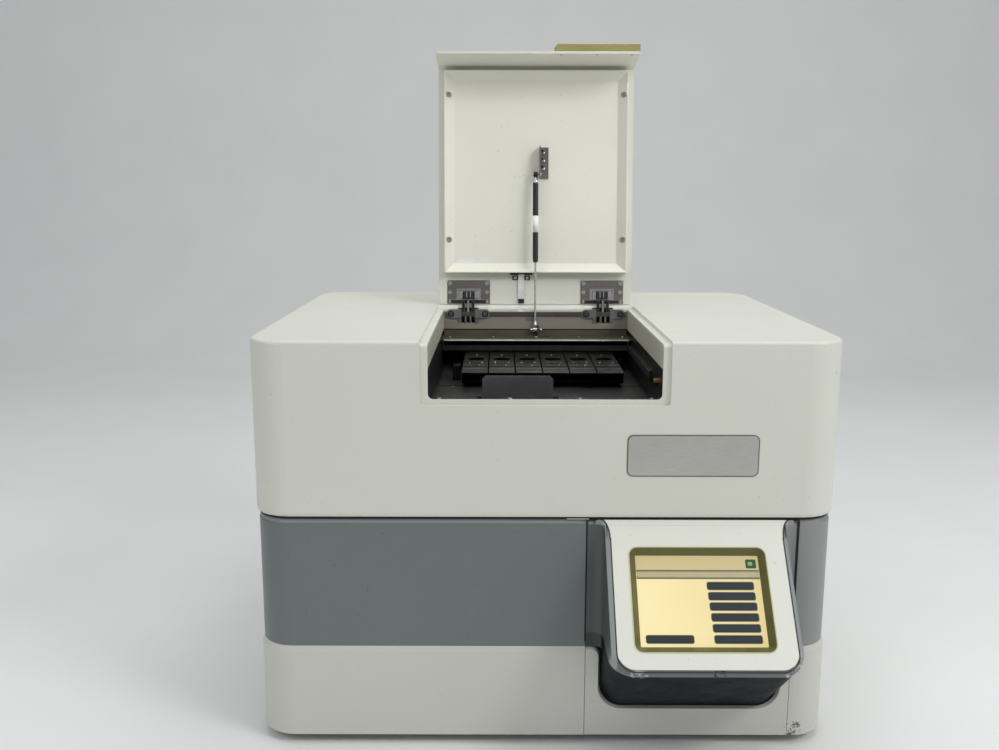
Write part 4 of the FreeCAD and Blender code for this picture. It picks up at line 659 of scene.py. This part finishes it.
def make_seams():
    """Black seams round the console, the cover's lower skirt and a mark in its gap."""
    black = simple("seam_black", (0.003, 0.003, 0.003), 0.7)
    base_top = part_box("mid_band")[0][2]
    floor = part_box("base_shell")[0][2] + 8 * MM
    near = FRONT + BAND_INSET
    for name, x, width, low, high in (
            ("left", 48.7 * MM, 1.7 * MM, base_top + 6 * MM, BAND_TOP - 2 * MM),
            ("right", 295.6 * MM, 3.0 * MM, base_top + 60 * MM, BAND_TOP - 2 * MM)):
        place = upright(x, near, (low + high) / 2)
        plate("console_seam_" + name, place, width, high - low, 0.3 * MM, 0.4 * MM, black, "housing")
    top = upright(172 * MM, near, BAND_TOP - 0.6 * MM)
    plate("console_seam_top", top, 249 * MM, 1.8 * MM, 0.35 * MM, 0.4 * MM, black, "housing")
    low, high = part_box("top_cover")
    middle = Matrix.Translation(((low[0] + high[0]) / 2, (low[1] + high[1]) / 2, low[2] - 2.4 * MM))
    ring_plate("cover_skirt", middle, high[0] - low[0] - 1.2 * MM, high[1] - low[1] - 1.2 * MM, 3 * MM,
               2.6 * MM, COVER_CORNER, M["cream"], "housing")
    mark = upright(38 * MM, FRONT + 2.4 * MM, BAND_TOP + 0.8 * MM)
    plate("gap_mark", mark, 26 * MM, 1.0 * MM, 0.5 * MM, 0.3 * MM, M["satin"], "housing")


def make_badge():
    """Blank badge plate on the cover's front."""
    blank = metal("badge_silver", (0.60, 0.60, 0.56), rough=0.42, stretch=(1, 24, 24), scale=60,
                  strength=0.06)
    rim = simple("badge_rim", (0.14, 0.14, 0.13), 0.4)
    place = upright(169 * MM, FRONT, 362 * MM)
    plate("badge_rim", place, 152 * MM, 49.5 * MM, 0.5 * MM, 7 * MM, rim, "housing")
    plate("badge_face", place, 149.6 * MM, 47.1 * MM, 1.1 * MM, 6 * MM, blank, "housing", edge=0.4 * MM)


def make_hinge_details():
    """Rims, plated studs, cups and bar trim on the hinges, and rings round the leaf's screws."""
    low = LID_INSIDE - 0.2 * MM
    bar_low = low - 2.6 * MM
    bar_y = PIVOT.y - 14.25 * MM
    window_y = LID_BACK - 0.6 * MM - 13.5 * MM
    for side, centre in HINGES:
        ring_plate("hinge_window_rim_" + side, on_lid(centre, window_y, low), 35.4 * MM, 17 * MM,
                   1.7 * MM, 0.7 * MM, 1.5 * MM, M["satin"], "lid")
        for number, offset in enumerate((-11.4, 11.4)):
            plate("hinge_stud_%s_%d" % (side, number), on_lid(centre + offset * MM, window_y + 1 * MM, low),
                  5 * MM, 11 * MM, 1.6 * MM, 0.8 * MM, M["bright"], "lid", edge=0.5 * MM)
        for number, offset in enumerate((-7.4, 7.4)):
            plate("hinge_slot_%s_%d" % (side, number), on_lid(centre + offset * MM, window_y + 1 * MM, low),
                  3.4 * MM, 9 * MM, 1.1 * MM, 0.5 * MM, M["plastic"], "lid")
        plate("hinge_cup_" + side, on_lid(centre, window_y + 0.5 * MM, low), 9.4 * MM, 11 * MM, 2.2 * MM,
              1 * MM, M["plastic"], "lid", edge=0.6 * MM)
        for number, offset in enumerate((-2.6, 2.6)):
            place = on_lid(centre + offset * MM, window_y, low - 2.2 * MM)
            plate("hinge_cup_line_%s_%d" % (side, number), place, 1.3 * MM, 9 * MM, 0.3 * MM,
                  0.5 * MM, M["bright"], "lid")
        plate("hinge_bar_face_" + side, on_lid(centre, bar_y, bar_low), 50 * MM, 4.2 * MM, 0.4 * MM,
              0.4 * MM, M["plastic"], "lid")
        for number, offset in enumerate((-27.4, 27.4)):
            plate("hinge_bar_end_%s_%d" % (side, number), on_lid(centre + offset * MM, bar_y, bar_low),
                  3.2 * MM, 5.4 * MM, 0.9 * MM, 0.6 * MM, M["bright"], "lid", edge=0.3 * MM)
        plate("hinge_bar_line_" + side, on_lid(centre, bar_y - 2.3 * MM, bar_low), 50 * MM, 0.7 * MM,
              0.7 * MM, 0.2 * MM, M["satin"], "lid")
        heel = PIVOT.z - 14.4 * MM
        for number, offset in enumerate((-7, 0, 7)):
            face = LID_MAP @ plane((centre + offset * MM, PIVOT.y - 6 * MM, heel), (1, 0, 0), (0, -1, 0))
            plate("hinge_finger_%s_%d" % (side, number), face, 2.2 * MM, 19 * MM, 0.35 * MM, 0.8 * MM,
                  M["satin"] if number == 1 else M["dark"], "lid")
        for number, offset in enumerate((-24.9, 24.9)):
            ring = upright(centre + offset * MM, BAY_BACK - 2 * MM, TOP - 10.6 * MM)
            turned("hinge_ear_ring_%s_%d" % (side, number), ring,
                   [(4.6 * MM, 0), (4.6 * MM, 0.25 * MM), (3.3 * MM, 0.3 * MM), (3.3 * MM, 0.0)],
                   M["dark"], "housing")


def make_lid_details():
    """Strike tip, catch screws, blank label and strut bracket slots."""
    strike_x = -22.5 * MM
    strike_face = LID_INSIDE - 3 * MM
    plate("strike_tip", on_lid(strike_x, LID_BACK - 4.6 * MM, strike_face), 8.8 * MM, 6.4 * MM, 0.8 * MM,
          0.4 * MM, M["plastic"], "lid", edge=0.2 * MM)
    # Black plate painted as the shadow in the slot where the strike comes out from under the liner.
    plate("strike_slot_shadow", on_lid(strike_x, LID_BACK - 44.5 * MM, LID_INSIDE), 33 * MM, 3.2 * MM, 2.6 * MM,
          0.6 * MM, M["plastic"], "lid", edge=0.3 * MM)
    for number, offset in enumerate((-8.8, 8.8)):
        spot = on_lid(strike_x + offset * MM, LID_BACK - 38.5 * MM, LID_INSIDE)
        plate("strike_pad_%d" % number, spot, 9 * MM, 6.4 * MM, 1.2 * MM, 2.4 * MM, M["plastic"], "lid",
              edge=0.5 * MM)
        turned("strike_screw_%d" % number, spot @ Matrix.Translation((0, 0, 1.2 * MM)),
               dome(2.3 * MM, 1.6 * MM), M["bright"], "lid")
    plate("lid_label", on_lid(BAY_CENTRE - 93 * MM, LID_BACK - 61 * MM, LINER_FLOOR), 45 * MM, 13.5 * MM,
          0.12 * MM, 2.5 * MM, M["blank"], "lid")
    bracket_x = 8.75 * MM
    ball_y = LID_BACK - STRUT_BALL_RUN
    for number, offset in enumerate((-33, -21.5, -10)):
        spot = on_lid(bracket_x, ball_y + offset * MM, LINER_FLOOR - 2 * MM)
        plate("bracket_slot_%d" % number, spot @ Matrix.Rotation(math.radians(28), 4, "Z"), 3.6 * MM,
              8.4 * MM, 0.2 * MM, 1.8 * MM, M["plastic"], "lid")
        turned("bracket_screw_%d" % number,
               spot @ Matrix.Translation((0.8 * MM, -1.2 * MM, 0.2 * MM)), dome(2.1 * MM, 1.3 * MM),
               M["bright"], "lid", steps=18)
    for number, (x, y) in enumerate(((-1, -1), (1, -1), (-1, 1), (1, 1))):
        edge_x = BAY_CENTRE + x * (BAY_HALF - 9.2 * MM)
        edge_y = FRONT + 32.5 * MM if y < 0 else LID_BACK - 93 * MM
        turned("liner_washer_%d" % number, on_lid(edge_x, edge_y, LID_INSIDE - 4 * MM),
               [(4.1 * MM, 0), (4.1 * MM, 0.5 * MM), (3.2 * MM, 0.55 * MM)], M["satin"], "lid")


def make_strut_details():
    """End fittings, ball studs and the blank band on the gas strut."""
    way = (STRUT_HEAD - STRUT_FOOT).normalized()
    side = Vector((1, 0, 0))
    along = Matrix((side, way.cross(side), way)).transposed().to_4x4()
    foot = Matrix.Translation(STRUT_FOOT) @ along
    head = Matrix.Translation(STRUT_HEAD) @ along
    length = (STRUT_HEAD - STRUT_FOOT).length
    start = length - 124 * MM
    band = foot @ Matrix.Translation((0, 0, start + 40 * MM))
    turned("strut_band", band, [(4.06 * MM, 0), (4.12 * MM, 0), (4.12 * MM, 24 * MM), (4.06 * MM, 24 * MM)],
           M["blank"], "strut_tube_body")
    turned("strut_cap", foot @ Matrix.Translation((0, 0, start + 111 * MM)),
           [(3.6 * MM, 0), (3.9 * MM, 0.8 * MM), (3.3 * MM, 3 * MM), (2.9 * MM, 9.5 * MM)],
           M["bright"], "strut_tube_body")
    turned("strut_boot", foot @ Matrix.Translation((0, 0, start - 3.5 * MM)),
           [(1.9 * MM, 0), (3.0 * MM, 0.6 * MM), (3.9 * MM, 3 * MM), (3.9 * MM, 3.6 * MM)],
           M["plastic"], "strut_tube_body")
    turned("strut_socket", foot @ Matrix.Translation((0, 0, 2.5 * MM)),
           [(3.0 * MM, 0), (3.1 * MM, 5 * MM), (2.2 * MM, 8 * MM), (1.7 * MM, 11 * MM)],
           M["satin"], "strut_rod_body")
    across = Matrix.Rotation(math.radians(90), 4, "Y")
    for name, centre, offset, radius, body in (
            ("strut_head_ball", head, -3.6, 2.8, "strut_tube_body"),
            ("strut_foot_ball_left", foot, -5.4, 2.6, "strut_rod_body")):
        turned(name, centre @ Matrix.Translation((offset * MM, 0, 0)) @ across,
               ball_profile(radius * MM), M["bright"], body, steps=20)
    stud = Matrix.Translation(STRUT_FOOT + Vector((6.5 * MM, 0, 0))) @ across
    turned("strut_foot_nut", stud, dome(2.8 * MM, 3 * MM), M["bright"], "housing", steps=6)
    lid_stud = Matrix.Translation(STRUT_HEAD + Vector((5.8 * MM, 0, 0))) @ across
    turned("strut_head_nut", lid_stud, dome(2.6 * MM, 2.4 * MM), M["bright"], "lid", steps=6)


def make_bay_details():
    """Seal and strips on the back wall, shelf edge, marks on the stage and the plate's clips."""
    seal = upright(BAY_CENTRE, BAY_BACK, TOP - 11.2 * MM)
    plate("bay_seal", seal, 262 * MM, 6.6 * MM, 1.1 * MM, 0.4 * MM, M["seal"], "housing", edge=0.4 * MM)
    upstand = upright(BAY_CENTRE, BAY_BACK, SHELF_TOP + 4.1 * MM)
    plate("shelf_upstand", upstand, 267 * MM, 8.6 * MM, 0.6 * MM, 0.3 * MM, M["upstand"], "housing")
    line = upright(BAY_CENTRE, BAY_BACK, SHELF_TOP + 8.0 * MM)
    plate("shelf_upstand_line", line, 267 * MM, 0.9 * MM, 0.8 * MM, 0.3 * MM, M["pit"], "housing")
    under = upright(BAY_CENTRE, FRONT + 330 * MM, SHELF_TOP - 8.5 * MM)
    plate("crossbar_shade", under, 266 * MM, 11 * MM, 0.4 * MM, 0.3 * MM, M["pit"], "housing")
    notch = upright(-11 * MM, BAY_BACK, TOP - 18.2 * MM)
    plate("catch_pocket", notch, 11 * MM, 5.4 * MM, 0.4 * MM, 0.8 * MM, M["leaf"], "housing")
    low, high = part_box("shelf_plate")
    edge = upright((low[0] + high[0]) / 2, low[1], SHELF_TOP - 1.9 * MM)
    plate("shelf_edge", edge, 264 * MM, 2.0 * MM, 0.35 * MM, 0.3 * MM, M["strip"], "housing")
    groove = plane((BAY_CENTRE, FRONT + 179 * MM, FLOOR_TOP), (1, 0, 0), (0, 1, 0))
    plate("floor_groove", groove, 270 * MM, 1.8 * MM, 0.2 * MM, 0.3 * MM, M["pit"], "housing")
    dots = ((0, 131, 1.7), (-6.5, 47, 1.1), (5.5, 49, 1.3), (9.5, 43, 0.9))
    for number in range(1, 7):
        low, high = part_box("cartridge_plate_%d" % number)
        middle = (low[0] + high[0]) / 2
        near = low[1]
        for index, (x, y, radius) in enumerate(dots):
            spot = Matrix.Translation((middle + x * MM, near + y * MM, PLATE_TOP))
            turned("stage_dot_%d_%d" % (number, index), spot, dome(radius * MM, 0.7 * MM),
                   M["satin"] if index in (0, 2) else M["arm"], "stage", steps=12)
        rim = Matrix.Translation((middle, near + 97 * MM, PLATE_TOP))
        plate("window_pit_%d" % number, rim, 23 * MM, 21 * MM, 0.2 * MM, 10.2 * MM, M["pit"], "stage")
        nose = upright(middle, near, PLATE_TOP - 3.2 * MM)
        plate("stage_nose_%d" % number, nose, 33 * MM, 3 * MM, 0.3 * MM, 0.2 * MM, M["pit"], "stage")
        for index, across in enumerate((-8.5, -4.5, -0.5, 3.5, 7.5)):
            pin = Matrix.Translation((middle + across * 1.3 * MM, near + 60 * MM, PLATE_TOP))
            plate("stage_hole_%d_%d" % (number, index), pin, 1.9 * MM, 4.5 * MM, 0.12 * MM, 0.9 * MM,
                  M["pit"], "stage")
        for index, back in enumerate((21, 39)):
            line = Matrix.Translation((middle, near + back * MM, PLATE_TOP))
            plate("stage_line_%d_%d" % (number, index), line, 32 * MM, 2.2 * MM, 0.12 * MM, 0.2 * MM,
                  M["pit"] if index else M["crossbar"], "stage")
    low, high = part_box("front_plate")
    for number, x in enumerate((low[0] - 3.4 * MM, high[0] + 3.4 * MM)):
        spot = upright(x, low[1] + 1.5 * MM, low[2] + 3.6 * MM)
        plate("front_plate_clip_%d" % number, spot, 6 * MM, 7 * MM, 2 * MM, 0.6 * MM, M["plastic"],
              "housing", edge=0.4 * MM)


make_screen()
make_face_edge()
make_seams()
make_badge()
make_hinge_details()
make_lid_details()
make_strut_details()
make_bay_details()

# Floor, light and camera.
CAMERA_PLACE = Vector((-52.49, -1113.76, 664.08)) * MM
CAMERA_LENS = 36.04
CAMERA_YAW = math.radians(0.068)
CAMERA_PITCH = math.radians(-10.575)
CAMERA_ROLL = math.radians(0.098)


def make_camera():
    data = bpy.data.cameras.new("camera")
    data.lens = CAMERA_LENS
    data.sensor_width = 36
    data.clip_start = 0.05
    item = bpy.data.objects.new("camera", data)
    bpy.context.scene.collection.objects.link(item)
    turn = (Matrix.Rotation(CAMERA_YAW, 4, "Z") @ Matrix.Rotation(math.pi / 2 + CAMERA_PITCH, 4, "X")
            @ Matrix.Rotation(CAMERA_ROLL, 4, "Z"))
    item.matrix_world = Matrix.Translation(CAMERA_PLACE + Vector((0, FRONT, 0))) @ turn
    bpy.context.scene.camera = item


def make_light(name, place, target, size, power, colour=(1, 1, 1), spread=180):
    data = bpy.data.lights.new(name, "AREA")
    data.shape = "RECTANGLE"
    data.size, data.size_y = size
    data.energy = power
    data.color = colour
    data.spread = math.radians(spread)
    item = bpy.data.objects.new(name, data)
    bpy.context.scene.collection.objects.link(item)
    aim = (Vector(target) - Vector(place)).to_track_quat("-Z", "Y")
    item.matrix_world = Matrix.Translation(Vector(place)) @ aim.to_matrix().to_4x4()


def make_stage():
    """Pale floor that turns up into a backdrop, and a soft room of light."""
    graph = Graph("studio_floor")
    cloud = graph.noise(3, 2)
    graph.set(colour=graph.mix(graph.remap(cloud, 0, 1), (0.90, 0.90, 0.885), (0.93, 0.93, 0.915)))
    graph.set(rough=0.7, normal=graph.bump(graph.noise(400, 2), 0.02, 0.0005), specular=0.2)
    half, near, far, height, bend = 6.0, -4.0, 3.4, 5.0, 1.2
    profile = [(near, 0.0)]
    for step in range(13):
        angle = math.pi / 2 * step / 12
        profile.append((far - bend + bend * math.sin(angle), bend - bend * math.cos(angle)))
    profile.append((far, height))
    points = [(x, y, z) for y, z in profile for x in (-half, half)]
    faces = [(2 * i, 2 * i + 1, 2 * i + 3, 2 * i + 2) for i in range(len(profile) - 1)]
    mesh = bpy.data.meshes.new("floor")
    mesh.from_pydata(points, [], faces)
    mesh.materials.append(graph.material)
    for polygon in mesh.polygons:
        polygon.use_smooth = True
    floor = bpy.data.objects.new("floor", mesh)
    bpy.context.scene.collection.objects.link(floor)
    world = bpy.data.worlds.new("room")
    world.use_nodes = True
    world.node_tree.nodes["Background"].inputs["Color"].default_value = (0.92, 0.96, 1.0, 1)
    world.node_tree.nodes["Background"].inputs["Strength"].default_value = 0.34
    bpy.context.scene.world = world
    make_light("key", (1.9, -1.5, 2.3), (0, 0, 0.3), (0.9, 0.7), 23)
    make_light("fill", (-1.5, -1.7, 2.3), (0, 0, 0.3), (1.4, 1.2), 12)
    make_light("side", (2.6, -0.9, 1.2), (0, 0, 0.25), (1.2, 1.2), 6)
    make_light("top", (0.1, 0.1, 2.8), (0, 0.0, 0.4), (2.2, 1.6), 26)
    make_light("lid", (0.9, -1.15, 1.45), (0, 0.15, 0.62), (0.3, 0.25), 0.09, spread=24)


make_camera()
make_stage()
bpy.context.scene.view_settings.view_transform = "Standard"
